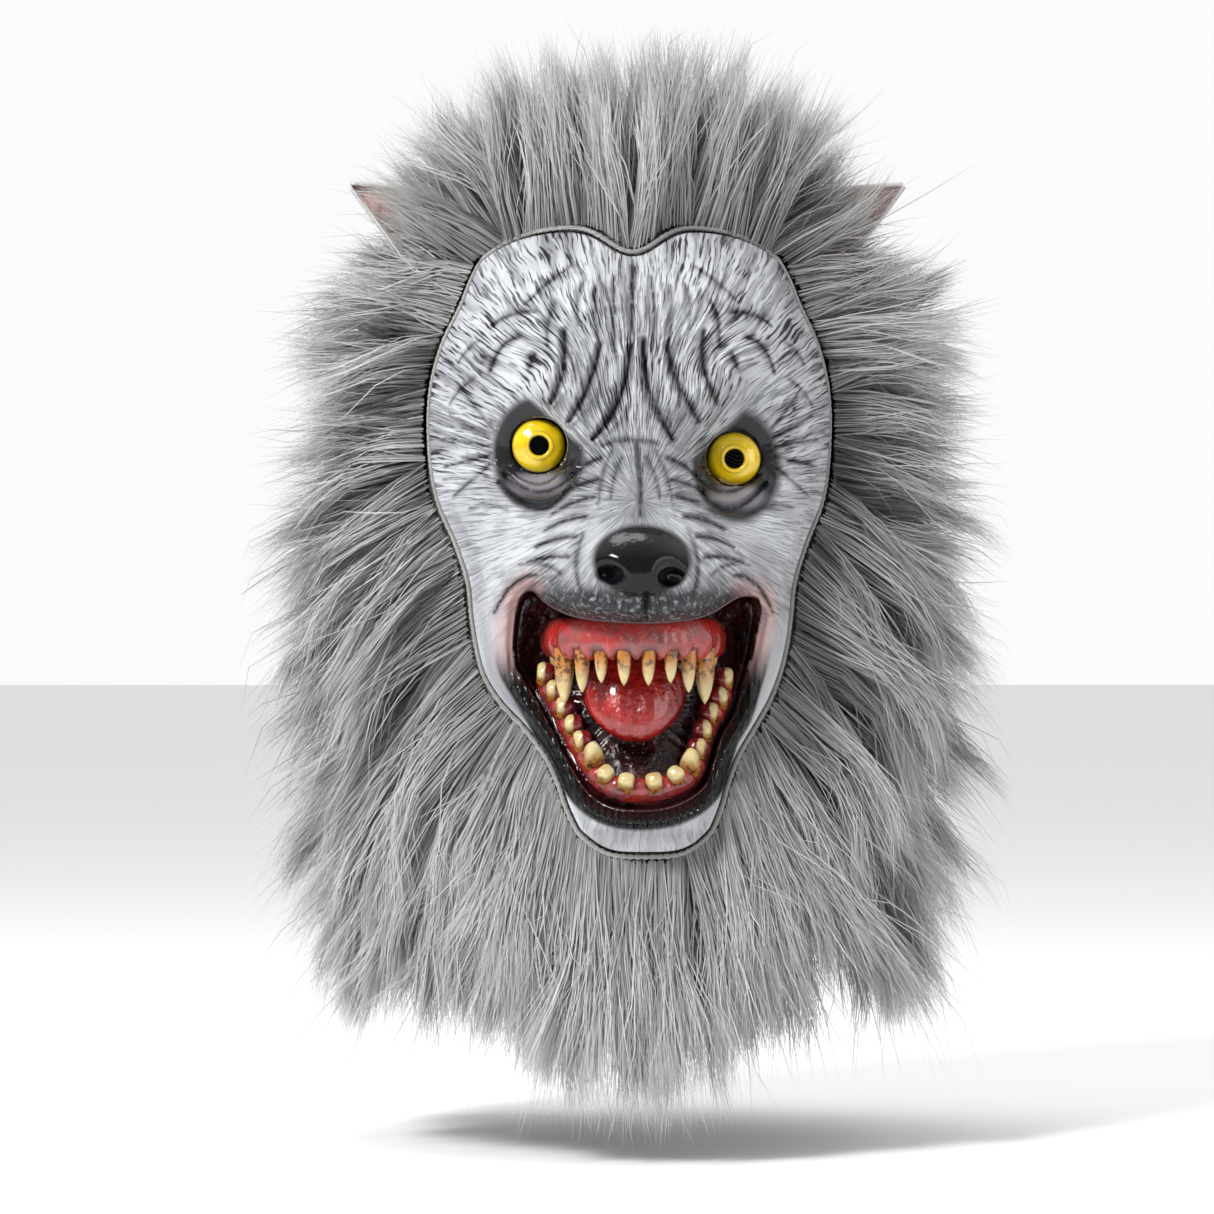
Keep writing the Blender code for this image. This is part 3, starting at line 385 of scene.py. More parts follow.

# %% [markdown]
# ## Wrinkles
# The sculptor cut creases with a loop tool, then the black paint was wiped so
# that it stayed in them. Each crease is a short curve with a width and a depth.
# The same curves give the relief, the mask for the black paint and a wider band
# of painted shade beside each crease, so paint, shade and groove can't drift apart.

# %% Table of creases
# both sides or one (1, -1), three places (across, down), width and depth in mm
CREASES = (
    ("bridge", -1, -0.020, 0.195, -0.024, 0.278, -0.200, 0.342, 1.5, 2.2),
    ("bridge", -1, 0.049, 0.183, 0.030, 0.263, 0.191, 0.342, 1.5, 2.2),
    ("frown", 0, 0.165, 0.190, 0.205, 0.262, 0.318, 0.312, 1.4, 1.8),
    ("brow roll", 0, 0.340, 0.168, 0.315, 0.230, 0.405, 0.282, 1.5, 1.8),
    ("brow dimple", 0, 0.485, 0.205, 0.500, 0.217, 0.510, 0.226, 1.8, 1.2),
    ("saddle", -1, -0.150, 0.352, -0.020, 0.336, 0.120, 0.350, 1.1, 0.7),
    ("nose line", -1, 0.014, 0.350, 0.034, 0.408, 0.020, 0.466, 1.1, 0.9),
    ("bridge side", 0, 0.060, 0.372, 0.110, 0.400, 0.120, 0.440, 1.0, 0.6),
    ("bridge side", 0, 0.110, 0.362, 0.170, 0.398, 0.180, 0.450, 1.0, 0.6),
    ("crown line", -1, 0.000, 0.066, -0.010, 0.110, -0.008, 0.170, 1.6, 1.0),
    ("forehead", 0, 0.180, 0.095, 0.200, 0.140, 0.170, 0.185, 1.3, 0.7),
    ("forehead", 0, 0.300, 0.060, 0.420, 0.085, 0.520, 0.120, 1.2, 0.6),
    ("forehead", 0, 0.090, 0.080, 0.110, 0.140, 0.090, 0.200, 1.2, 0.8),
    ("forehead", 0, 0.250, 0.090, 0.290, 0.120, 0.270, 0.160, 1.2, 0.7),
    ("forehead", 0, 0.380, 0.120, 0.430, 0.145, 0.420, 0.190, 1.2, 0.7),
    ("forehead", 0, 0.480, 0.135, 0.600, 0.130, 0.690, 0.155, 1.4, 0.9),
    ("brow top", 0, 0.560, 0.175, 0.660, 0.180, 0.700, 0.230, 1.3, 0.9),
    ("crow foot", 0, 0.700, 0.335, 0.800, 0.318, 0.900, 0.298, 1.0, 0.8),
    ("crow foot", 0, 0.705, 0.350, 0.820, 0.345, 0.930, 0.335, 1.0, 0.9),
    ("crow foot", 0, 0.705, 0.365, 0.810, 0.375, 0.925, 0.380, 1.0, 0.9),
    ("crow foot", 0, 0.700, 0.380, 0.790, 0.405, 0.880, 0.430, 1.0, 0.8),
    ("crow foot", 0, 0.690, 0.320, 0.770, 0.290, 0.840, 0.255, 1.0, 0.7),
    ("eye bag", 0, 0.300, 0.398, 0.450, 0.455, 0.630, 0.395, 1.3, 1.5),
    ("eye bag", 0, 0.320, 0.420, 0.460, 0.492, 0.660, 0.410, 1.4, 1.8),
    ("lid", 0, 0.370, 0.398, 0.460, 0.428, 0.580, 0.396, 0.9, 0.9),
    ("muzzle", 0, 0.160, 0.372, 0.240, 0.380, 0.300, 0.398, 1.2, 1.0),
    ("muzzle", 0, 0.180, 0.408, 0.270, 0.412, 0.340, 0.428, 1.2, 1.1),
    ("muzzle", 0, 0.200, 0.436, 0.300, 0.440, 0.400, 0.462, 1.2, 1.2),
    ("muzzle", 0, 0.240, 0.468, 0.340, 0.468, 0.440, 0.490, 1.2, 1.2),
    ("muzzle", 0, 0.290, 0.500, 0.380, 0.498, 0.480, 0.516, 1.2, 1.2),
    ("muzzle", 0, 0.330, 0.532, 0.420, 0.528, 0.520, 0.540, 1.2, 1.0),
    ("nose wing", 0, 0.255, 0.495, 0.320, 0.540, 0.270, 0.588, 1.5, 0.7),
    ("cheek line", 0, 0.360, 0.560, 0.430, 0.535, 0.560, 0.545, 1.1, 0.6),
    ("cheek line", 0, 0.620, 0.455, 0.700, 0.440, 0.800, 0.450, 1.1, 0.5),
    ("temple", 0, 0.780, 0.240, 0.860, 0.255, 0.900, 0.280, 1.1, 0.6),
    ("temple", 0, 0.760, 0.180, 0.820, 0.190, 0.860, 0.215, 1.1, 0.6),
    ("smile", 0, 0.480, 0.560, 0.600, 0.560, 0.680, 0.620, 1.6, 1.0),
    ("philtrum", -1, 0.040, 0.592, 0.042, 0.610, 0.045, 0.632, 1.2, 1.2),
)

# %% Relief, paint masks and painted shade of the creases
CREASE_STEPS = 9
CREASE_UNIT = 0.0013
CUT_DEPTH = 0.0014
BANK_HEIGHT = 0.0009
BANK_AWAY = 2.1
BLACK_WIDTH = 0.62
# width of the painted shade beside each crease, in crease widths
CREASE_SHADE_WIDTH = 1.9


def crease_lines():
    """Each crease as points in metres, on one side or both, with width and depth."""
    t = np.linspace(0, 1, CREASE_STEPS)[:, None]
    for _, both, *numbers in CREASES:
        *places, wide, deep = numbers
        start, middle, end = np.array(places).reshape(3, 2)
        line = start * (1 - t) ** 2 + 2 * middle * t * (1 - t) + end * t**2
        for side in (-1, 1) if both == 0 else (1,):
            yield line * (side * FACE_HALF_WIDTH, FACE_LENGTH), wide, deep


def crease_distance(x, drop, line):
    """Distance to a crease, counted as farther near its ends, so that it thins."""
    far = 0 * x + 1.0
    for number, (here, there) in enumerate(zip(line[:-1], line[1:], strict=True)):
        way = there - here
        dx, dz = x - here[0], drop - here[1]
        share = np.clip((dx * way[0] + dz * way[1]) / way.dot(way), 0, 1)
        reach = (number + share) / (CREASE_STEPS - 1)
        thin = 0.35 + 0.65 * np.sin(math.pi * np.minimum(1, 0.15 + 0.8 * reach))
        away = np.hypot(dx - share * way[0], dz - share * way[1])
        far = np.minimum(far, away / thin)
    return far


def crease_masks(x, z):
    """Relief in metres, the black in the creases and the painted shade beside them."""
    drop = face_down(z) * FACE_LENGTH
    relief, black, crease_shade = 0 * x, 0 * x, 0 * x
    for line, wide, deep in crease_lines():
        share = crease_distance(x, drop, line) / (wide * CREASE_UNIT)
        relief = relief - deep * CUT_DEPTH * np.exp(-(share**2))
        relief = relief + deep * BANK_HEIGHT * np.exp(-((share - BANK_AWAY) ** 2))
        paint = min(1, deep)
        black = np.maximum(black, np.exp(-((share / BLACK_WIDTH) ** 2)) * paint)
        # painted shade: a wider dark band beside each crease
        crease_shade = np.maximum(crease_shade, np.exp(-((share / CREASE_SHADE_WIDTH) ** 2)) * paint)
    return relief, black, crease_shade

# %% [markdown]
# ## The grid of the skin
# The skin is one grid of points from rim to rim. Points near the mouth's edge
# and the eye holes are moved onto them before the faces inside are left out, so
# the holes have clean edges without a boolean cut.

# %% Lay the grid on the face and open the holes
SKIN_COLUMNS = 250
SKIN_ROWS = 320
SKIN_SNAP = 0.00055
EYE_HOLE = 0.0129
RIM_DIP = 0.045
RIM_DIP_HALF_WIDTH = 0.20
RIM_TOP_CURVE = 0.045
RIM_CHIN_CURVE = 0.036


def rim_heights(u):
    """Heights of the face's upper and lower rim, at places from -1 to 1 across."""
    dip = RIM_DIP * np.exp(-((u / RIM_DIP_HALF_WIDTH) ** 2)) + RIM_TOP_CURVE * u**4
    return face_z(dip), face_z(1 - RIM_CHIN_CURVE * u**4)


def face_place(u, v):
    """Where a place of the face, -1 to 1 across and 0 to 1 down, lies in X and Z."""
    top, bottom = rim_heights(u)
    z = top * (1 - v) + bottom * v
    down = face_down(z)
    across = 0.5 * u + 0.5 * np.sin(u * math.pi / 2)
    across = through(FACE_EDGE, 1, down) * across + through(FACE_EDGE, 2, down)
    return FACE_HALF_WIDTH * across, z


def eye_distance(x, z):
    """Distance to the nearer eye hole's edge, negative inside it."""
    near = 1.0
    for _, across, down in EYES:
        reach = np.hypot(x - across * FACE_HALF_WIDTH, z - face_z(down)) - EYE_HOLE
        near = np.minimum(near, reach)
    return near


def open_hole(x, z, distance, snap):
    """Moves points close to a hole's edge onto it, and says which are inside."""
    away = distance(x, z)
    close = np.abs(away) < snap
    nudge = 1e-5
    px, pz = x[close], z[close]
    slope_x = (distance(px + nudge, pz) - away[close]) / nudge
    slope_z = (distance(px, pz + nudge) - away[close]) / nudge
    size = np.maximum(np.hypot(slope_x, slope_z), 0.2)
    x[close] = px - away[close] * slope_x / size**2
    z[close] = pz - away[close] * slope_z / size**2
    away[close] = 0
    return away


def skin_grid(columns, rows, snap):
    """Places of a grid over the face, and its quads outside mouth and eyes."""
    v, u = np.mgrid[0 : 1 : (rows + 1) * 1j, -1 : 1 : (columns + 1) * 1j]
    x, z = face_place(u, v)
    mouth = open_hole(x, z, lip_distance, snap)
    eyes = open_hole(x, z, eye_distance, snap)
    away = np.minimum(mouth, eyes).ravel()
    faces = grid_faces(rows + 1, columns + 1)
    corner = away[faces]
    keep = (corner.min(axis=1) >= 0) & (corner.max(axis=1) > 0)
    return x.ravel(), z.ravel(), faces[keep][:, ::-1]


def drop_unused(points, faces, *layers):
    """Leaves out the points that no face uses."""
    used = np.unique(faces)
    number = np.zeros(len(points), dtype=int)
    number[used] = np.arange(len(used))
    return points[used], number[faces], *[layer[used] for layer in layers]


skin_x, skin_z, skin_faces = skin_grid(SKIN_COLUMNS, SKIN_ROWS, SKIN_SNAP)
skin_lip = lip_distance(skin_x, skin_z)
wrinkle, black, crease_shade = crease_masks(skin_x, skin_z)
print("skin grid:", len(skin_x), "points, deepest crease", round(wrinkle.min() * 1000, 1))

# %% [markdown]
# ## Paint masks
# The painter used few colours: black in the sockets, on the nose and along the
# lower lip, pink at the corners of the mouth, and grey stipple on the upper lip.
# Each is a soft-edged area worked out from the same places as the relief.

# %% Where each paint lies
def soft(value, low, high):
    """A smooth step from 0 at low to 1 at high, or down if high is less."""
    share = np.clip((value - low) / (high - low), 0, 1)
    return share * share * (3 - 2 * share)


def blob(across, down, middle, half):
    """Distance from a middle in half widths and heights: 1 at the blob's edge."""
    return np.hypot((across - middle[0]) / half[0], (down - middle[1]) / half[1])


skin_across = skin_x / FACE_HALF_WIDTH
skin_down = face_down(skin_z)

# the sockets: drops that hang from the slope of the brow
SOCKET_HALF = (0.236, 0.097)
socket, bag = 0 * skin_x, 0 * skin_x
for _, eye_across, eye_down in EYES:
    side = math.copysign(1, eye_across)
    middle = (eye_across + 0.005 * side, eye_down + 0.012)
    drop = soft(blob(skin_across, skin_down, middle, SOCKET_HALF), 1.06, 0.86)
    slope = (skin_across - eye_across) * side * -0.30
    under_brow = soft(skin_down - (eye_down - 0.060) - slope, -0.010, 0.006)
    socket = np.maximum(socket, drop * under_brow)
    low = (eye_across + 0.01 * side, eye_down + 0.062)
    bag = np.maximum(bag, soft(blob(skin_across, skin_down, low, (0.145, 0.022)), 1.25, 0.5))

nose_paint = soft(blob(skin_across, skin_down, (0.022, 0.537), (0.245, 0.058)), 1.06, 0.90)
lip_paint = soft(skin_down, 0.562, 0.594) * soft(skin_down, 0.68, 0.65)
lip_paint = lip_paint * soft(np.abs(skin_across - 0.02), 0.58, 0.42)
lip_band = soft(skin_lip, 0.018, 0.005) * soft(skin_down, 0.68, 0.65)
lip_paint = np.maximum(lip_paint, lip_band * soft(np.abs(skin_across), 0.54, 0.36))
low_lip = soft(skin_lip, 0.0088, 0.0068) * soft(skin_down, 0.66, 0.74)
corner = soft(skin_lip, 0.012, 0.002) * soft(skin_down, 0.78, 0.70)
corner = corner * soft(np.abs(skin_across), 0.38, 0.50)
wet = np.maximum.reduce([socket, nose_paint, lip_paint, low_lip])
print("painted black:", round(float(np.mean(socket + nose_paint + low_lip)) * 100), "%")

# %% [markdown]
# ## Engraved hair
# The cast shows short hairs cut into the clay. They grow away from the bridge of
# the nose and fan out over the forehead and the cheeks. Two numbers at each
# point, the way along the growth and the way across it, let a stretched noise
# draw them with the right direction everywhere.

# %% Growth lines
GROWTH_CENTRE = (0.02, 0.44)
growth_x = (skin_across - GROWTH_CENTRE[0]) * FACE_HALF_WIDTH
growth_z = (GROWTH_CENTRE[1] - skin_down) * FACE_LENGTH
for middle, turn in ((0.42, 0.9), (-0.42, -0.9)):
    swirl = np.exp(-(blob(skin_across, skin_down, (middle, 0.215), (0.20, 0.055)) ** 2))
    growth_x = growth_x + 0.012 * turn * swirl
growth_angle = np.arctan2(growth_x, growth_z)
growth_reach = np.hypot(growth_x, growth_z)
strokes = np.stack([growth_angle * 0.085, growth_reach, 0 * growth_reach], axis=-1)
print("longest growth line:", round(growth_reach.max() * 1000), "mm")

# %% [markdown]
# ## Shared finishes
# Several paints use the same two effects: a cloudy variation of a mask, and the
# fine lumps that make wet paint glitter. Each is a node group with named inputs,
# so a material only says how large and how strong.

# %% Helper for nodes, and the two groups
def add_node(tree, kind, inputs=None, **settings):
    """A node with its settings; an input is a value or another node's socket."""
    made = tree.nodes.new(kind)
    for key, value in settings.items():
        setattr(made, key, value)
    for key, value in (inputs or {}).items():
        if isinstance(value, bpy.types.NodeSocket):
            tree.links.new(value, made.inputs[key])
        else:
            made.inputs[key].default_value = value
    return made


def start_group(name, inputs, output):
    """An empty node group with number inputs and one output."""
    group = bpy.data.node_groups.new(name, "ShaderNodeTree")
    for label, value in inputs.items():
        socket = group.interface.new_socket(
            label, in_out="INPUT", socket_type="NodeSocketFloat"
        )
        socket.default_value = value
    group.interface.new_socket(output[0], in_out="OUTPUT", socket_type=output[1])
    return group, group.nodes.new("NodeGroupInput"), group.nodes.new("NodeGroupOutput")


clouds, given, result = start_group(
    "clouds", {"Scale": 60.0, "Low": 0.4, "High": 0.6}, ("Mask", "NodeSocketFloat")
)
place = add_node(clouds, "ShaderNodeTexCoord")
noise = add_node(
    clouds,
    "ShaderNodeTexNoise",
    {"Vector": place.outputs["Object"], "Scale": given.outputs["Scale"], "Detail": 4.0},
)
spread = add_node(
    clouds,
    "ShaderNodeMapRange",
    {
        "Value": noise.outputs["Fac"],
        "From Min": given.outputs["Low"],
        "From Max": given.outputs["High"],
    },
)
clouds.links.new(spread.outputs["Result"], result.inputs["Mask"])

lumps, given, result = start_group(
    "lumps", {"Scale": 400.0, "Depth": 0.3}, ("Normal", "NodeSocketVector")
)
place = add_node(lumps, "ShaderNodeTexCoord")
noise = add_node(
    lumps,
    "ShaderNodeTexNoise",
    {"Vector": place.outputs["Object"], "Scale": given.outputs["Scale"], "Detail": 3.0},
)
height = add_node(
    lumps,
    "ShaderNodeBump",
    {
        "Height": noise.outputs["Fac"],
        "Strength": 1.0,
        "Distance": given.outputs["Depth"],
    },
)
lumps.links.new(height.outputs["Normal"], result.inputs["Normal"])
print("groups:", clouds.name, lumps.name)

# %% [markdown]
# A paint is a chain of colours laid over each other, each by its own mask. These
# helpers keep a material readable: start it, read a mask from the mesh, multiply
# two masks, lay one colour over another, and turn a noise into a bump.

# %% Helpers for materials
def start_material(name, roughness, **sockets):
    """A new material and its Principled shader, with its constant sockets set."""
    made = bpy.data.materials.new(name)
    made.use_nodes = True
    tree = made.node_tree
    shader = tree.nodes["Principled BSDF"]
    shader.inputs["Roughness"].default_value = roughness
    for key, value in sockets.items():
        shader.inputs[key.replace("_", " ")].default_value = value
    return made, tree, shader


def cloudy(tree, scale, low, high):
    """The clouds group: a mask in patches."""
    sizes = {"Scale": scale, "Low": low, "High": high}
    return add_node(tree, "ShaderNodeGroup", sizes, node_tree=clouds).outputs["Mask"]


def lumpy(tree, scale, depth):
    """The lumps group: a normal with small lumps."""
    sizes = {"Scale": scale, "Depth": depth}
    return add_node(tree, "ShaderNodeGroup", sizes, node_tree=lumps).outputs["Normal"]


def read(tree, name, output="Fac"):
    """A number or vector that brush_on stored on the mesh."""
    kind = "GEOMETRY"
    found = add_node(tree, "ShaderNodeAttribute", attribute_name=name, attribute_type=kind)
    return found.outputs[output]


def times(tree, first, second, operation="MULTIPLY"):
    """Two numbers multiplied, or added where operation says so, kept in 0 to 1."""
    made = add_node(tree, "ShaderNodeMath", {0: first, 1: second}, operation=operation)
    made.use_clamp = True
    return made.outputs["Value"]


def mixed(tree, share, first, second):
    """One colour or socket over another, by a share that varies."""
    made = add_node(tree, "ShaderNodeMix", data_type="RGBA")
    for socket, value in ((0, share), (6, first), (7, second)):
        if isinstance(value, bpy.types.NodeSocket):
            tree.links.new(value, made.inputs[socket])
        elif isinstance(value, tuple):
            made.inputs[socket].default_value = (*value, 1.0)
        else:
            made.inputs[socket].default_value = value
    return made.outputs[2]


def vectors(tree, operation, first, second):
    """Two vectors added, subtracted or multiplied."""
    made = add_node(tree, "ShaderNodeVectorMath", {0: first, 1: second}, operation=operation)
    return made.outputs["Vector"]


def noise_over(tree, vector, scale=1.0, detail=2.0, output="Fac"):
    """A noise over a vector, as a number or as a colour."""
    sizes = {"Vector": vector, "Scale": scale, "Detail": detail}
    return add_node(tree, "ShaderNodeTexNoise", sizes).outputs[output]


def spread_out(tree, value, **limits):
    """A number stretched between limits, such as From_Min or To_Max."""
    inputs = {key.replace("_", " "): limit for key, limit in limits.items()}
    inputs["Value"] = value
    return add_node(tree, "ShaderNodeMapRange", inputs).outputs["Result"]


def bumped(tree, height, distance, below=None, invert=False):
    """A normal from a height, on the plain surface or on another bump."""
    inputs = {"Height": height, "Distance": distance}
    if below is not None:
        inputs["Normal"] = below
    return add_node(tree, "ShaderNodeBump", inputs, invert=invert).outputs["Normal"]

# %% [markdown]
# ## Painted latex
# White latex with black wiped into every groove. The strokes are a noise that
# is long in the direction of growth and narrow across it, cut to thin lines.
# They are both paint and relief, because the wiped colour lies in the cuts. A
# broader noise along the same lines makes the rolling wrinkles between them.
# Their valleys and a band beside each crease are darkened with painted shade.

# %% Colours of the latex
WHITE_LATEX = (0.500, 0.512, 0.540)
GREY_LATEX = (0.330, 0.338, 0.362)
# colour of the painted shade beside the creases and in the wrinkle valleys
CREASE_SHADE_PAINT = (0.115, 0.118, 0.128)
BLACK_PAINT = (0.003, 0.003, 0.004)
PINK_PAINT = (0.420, 0.290, 0.285)
BAG_PAINT = (0.215, 0.198, 0.225)
LIP_PAINT = (0.030, 0.031, 0.034)
NOSE_PAINT = (0.0035, 0.0035, 0.0045)
DRY_ROUGHNESS = 0.44
WET_ROUGHNESS = 0.13

# %% Strokes and rolling wrinkles along the growth
STROKE_WAVER = 70.0
STROKE_BEND = (0.0035, 0.004, 0.0)
HAIR_STRETCH = (950.0, 90.0, 1.0)
ROLL_STRETCH = (300.0, 36.0, 1.0)


def stroke_noises(tree):
    """The cut hairs, 0 or 1 with soft sides, and the height of the wrinkles."""
    flow = read(tree, "strokes", "Vector")
    waver = noise_over(tree, flow, STROKE_WAVER, output="Color")
    bend = vectors(tree, "SUBTRACT", waver, (0.5, 0.5, 0.5))
    bend = vectors(tree, "MULTIPLY", bend, STROKE_BEND)
    flow = vectors(tree, "ADD", flow, bend)
    hairs = noise_over(tree, vectors(tree, "MULTIPLY", flow, HAIR_STRETCH))
    rolls = noise_over(tree, vectors(tree, "MULTIPLY", flow, ROLL_STRETCH), detail=1.0)
    return spread_out(tree, hairs, From_Min=0.52, From_Max=0.62), rolls

# %% The latex's colour
def latex_colour(tree, hairs, rolls, engraved):
    """White latex, painted shade by the creases and in the wrinkle valleys, the painted areas, and
    black in the cuts.
    """
    lines = times(tree, times(tree, hairs, engraved), cloudy(tree, 42.0, 0.34, 0.56))
    black = times(tree, read(tree, "black"), cloudy(tree, 300.0, 0.15, 0.48))
    black = times(tree, black, times(tree, lines, 0.95), "ADD")
    # painted shade: the valleys of the rolling wrinkles and a band beside each crease are darkened
    valley = spread_out(tree, rolls, From_Min=0.50, From_Max=0.66)
    rolled = times(tree, times(tree, valley, engraved), 0.55)
    painted_shade = times(tree, read(tree, "crease_shade"), cloudy(tree, 120.0, 0.25, 0.65))
    painted_shade = times(tree, times(tree, painted_shade, 0.70), rolled, "ADD")
    stippled = times(tree, read(tree, "lip"), cloudy(tree, 420.0, 0.10, 0.48))
    tone = mixed(tree, cloudy(tree, 30.0, 0.42, 0.75), WHITE_LATEX, GREY_LATEX)
    coats = (
        # the painted shade beside the creases and in the wrinkle valleys
        (painted_shade, CREASE_SHADE_PAINT),
        (read(tree, "pink"), PINK_PAINT),
        (stippled, LIP_PAINT),
        (times(tree, read(tree, "socket"), 0.97), BLACK_PAINT),
        (times(tree, read(tree, "bag"), 0.85), BAG_PAINT),
        (read(tree, "glossy_black"), NOSE_PAINT),
        (black, BLACK_PAINT),
    )
    for share, paint in coats:
        tone = mixed(tree, share, tone, paint)
    return tone

# %% The latex material
GROOVE_DEPTH = 0.0007
ROLL_DEPTH = 0.005
STIPPLE_DEPTH = 0.00016


def make_latex():
    """Painted latex: its colour, wet and dry paint, and three bumps in a row."""
    made, tree, shader = start_material("painted latex", 0.42, Specular_IOR_Level=0.28)
    hairs, rolls = stroke_noises(tree)
    engraved, wet = read(tree, "engraved"), read(tree, "wet")
    tone = latex_colour(tree, hairs, rolls, engraved)
    tree.links.new(tone, shader.inputs["Base Color"])
    rough = spread_out(tree, wet, To_Min=DRY_ROUGHNESS, To_Max=WET_ROUGHNESS)
    tree.links.new(rough, shader.inputs["Roughness"])
    groove = bumped(tree, times(tree, hairs, engraved), GROOVE_DEPTH, invert=True)
    roll = bumped(tree, times(tree, rolls, engraved), ROLL_DEPTH, groove, invert=True)
    place = add_node(tree, "ShaderNodeTexCoord").outputs["Object"]
    grain = noise_over(tree, place, 420.0, 1.0)
    stipple = bumped(tree, times(tree, grain, wet), STIPPLE_DEPTH, roll)
    tree.links.new(stipple, shader.inputs["Normal"])
    return made


latex = make_latex()
print("material:", latex.name)

# %% [markdown]
# The skin is the grid's places with their depth, less the faces in the holes.
# Its masks are stored on the points, and its edges are turned back by the wall's
# thickness, as the trimmed edge of a cast shows.

# %% Build the skin
NOSTRILS = ((-0.130, 0.560), (0.168, 0.565))
NOSTRIL_HALF = (0.066, 0.0135)
NOSTRIL_DEPTH = 0.0038


def nostril_share(x, z):
    """1 inside the two nostrils, 0 outside."""
    across, down = x / FACE_HALF_WIDTH, face_down(z)
    near = [blob(across, down, middle, NOSTRIL_HALF) for middle in NOSTRILS]
    return soft(np.minimum(*near), 1.25, 0.6)


nostrils = nostril_share(skin_x, skin_z)
lumpy_lip = 0.0006 * np.sin(skin_across * 190) * low_lip
skin_fine = wrinkle + lumpy_lip - NOSTRIL_DEPTH * nostrils
skin_y = -face_depth(skin_x, skin_z, skin_lip, skin_fine)
skin_points = np.stack([skin_x, skin_y, skin_z], axis=-1)
engraved = soft(skin_down, 0.72, 0.56) * (1 - socket) * (1 - nose_paint)
engraved = engraved * (0.50 + 0.50 * soft(skin_down, 0.46, 0.34))
engraved = np.maximum(engraved, 0.35 * soft(skin_down, 0.93, 0.96))
black = np.maximum(black * (1 - 0.7 * nose_paint), nostrils)
masks = {
    "strokes": strokes,
    "black": black,
    # painted shade beside the creases
    "crease_shade": crease_shade,
    "engraved": engraved,
    "pink": corner,
    "lip": lip_paint,
    "socket": socket,
    "bag": bag * socket,
    "glossy_black": np.maximum(nose_paint, low_lip),
    "wet": wet,
}
points, faces, *layers = drop_unused(skin_points, skin_faces, *masks.values())
skin = make_piece("face_skin", points, faces.tolist(), latex)
for label, values in zip(masks, layers, strict=True):
    brush_on(skin, label, values)
wall = skin.modifiers.new("turned edge", "SOLIDIFY")
wall.thickness = LATEX_WALL
wall.offset = -1.0
wall.use_rim_only = True
apply_modifiers(skin)
skin.data.shade_smooth()
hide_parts("face_shell")

# %% [markdown]
# The inside of the cast is bare latex. It is only seen through the neck, so a
# coarser grid a wall's thickness behind the skin is enough.

# %% The inside of the face
INSIDE_COLUMNS = 70
INSIDE_ROWS = 90
INSIDE_SNAP = 0.0019
INSIDE_SLACK = 0.0014


def make_bare_latex():
    made, tree, shader = start_material("bare latex", 0.6)
    tone = mixed(tree, cloudy(tree, 45.0, 0.35, 0.7), (0.50, 0.46, 0.38), (0.36, 0.33, 0.28))
    tree.links.new(tone, shader.inputs["Base Color"])
    tree.links.new(lumpy(tree, 250.0, 0.0006), shader.inputs["Normal"])
    return made


bare_latex = make_bare_latex()
in_x, in_z, in_faces = skin_grid(INSIDE_COLUMNS, INSIDE_ROWS, INSIDE_SNAP)
in_fine = -INSIDE_SLACK - NOSTRIL_DEPTH * nostril_share(in_x, in_z)
in_y = LATEX_WALL - face_depth(in_x, in_z, lip_distance(in_x, in_z), in_fine)
in_points, in_faces = drop_unused(np.stack([in_x, in_y, in_z], axis=-1), in_faces)
inside = make_piece("face_inside", in_points, in_faces[:, ::-1].tolist(), bare_latex)

# %% [markdown]
# ## Eyes
# Each eye is a moulded yellow dome with a raised ring round a hole that the
# wearer sees through. It is a turned form, so its profile is spun round its axis.

# %% Eye material and the turned domes
EYE_RADIUS = 0.0123
EYE_HEIGHT = 0.010
EYE_STEPS = 72


def make_eye_paint():
    made, tree, shader = start_material("eye paint", 0.10, Coat_Weight=0.6)
    shader.inputs["Coat Roughness"].default_value = 0.04
    tone = mixed(tree, cloudy(tree, 160.0, 0.45, 0.75), (0.70, 0.49, 0.004), (0.56, 0.34, 0.003))
    tone = mixed(tree, read(tree, "rim"), tone, (0.05, 0.022, 0.002))
    tree.links.new(tone, shader.inputs["Base Color"])
    tree.links.new(lumpy(tree, 300.0, 0.0002), shader.inputs["Normal"])
    return made


eye_paint = make_eye_paint()
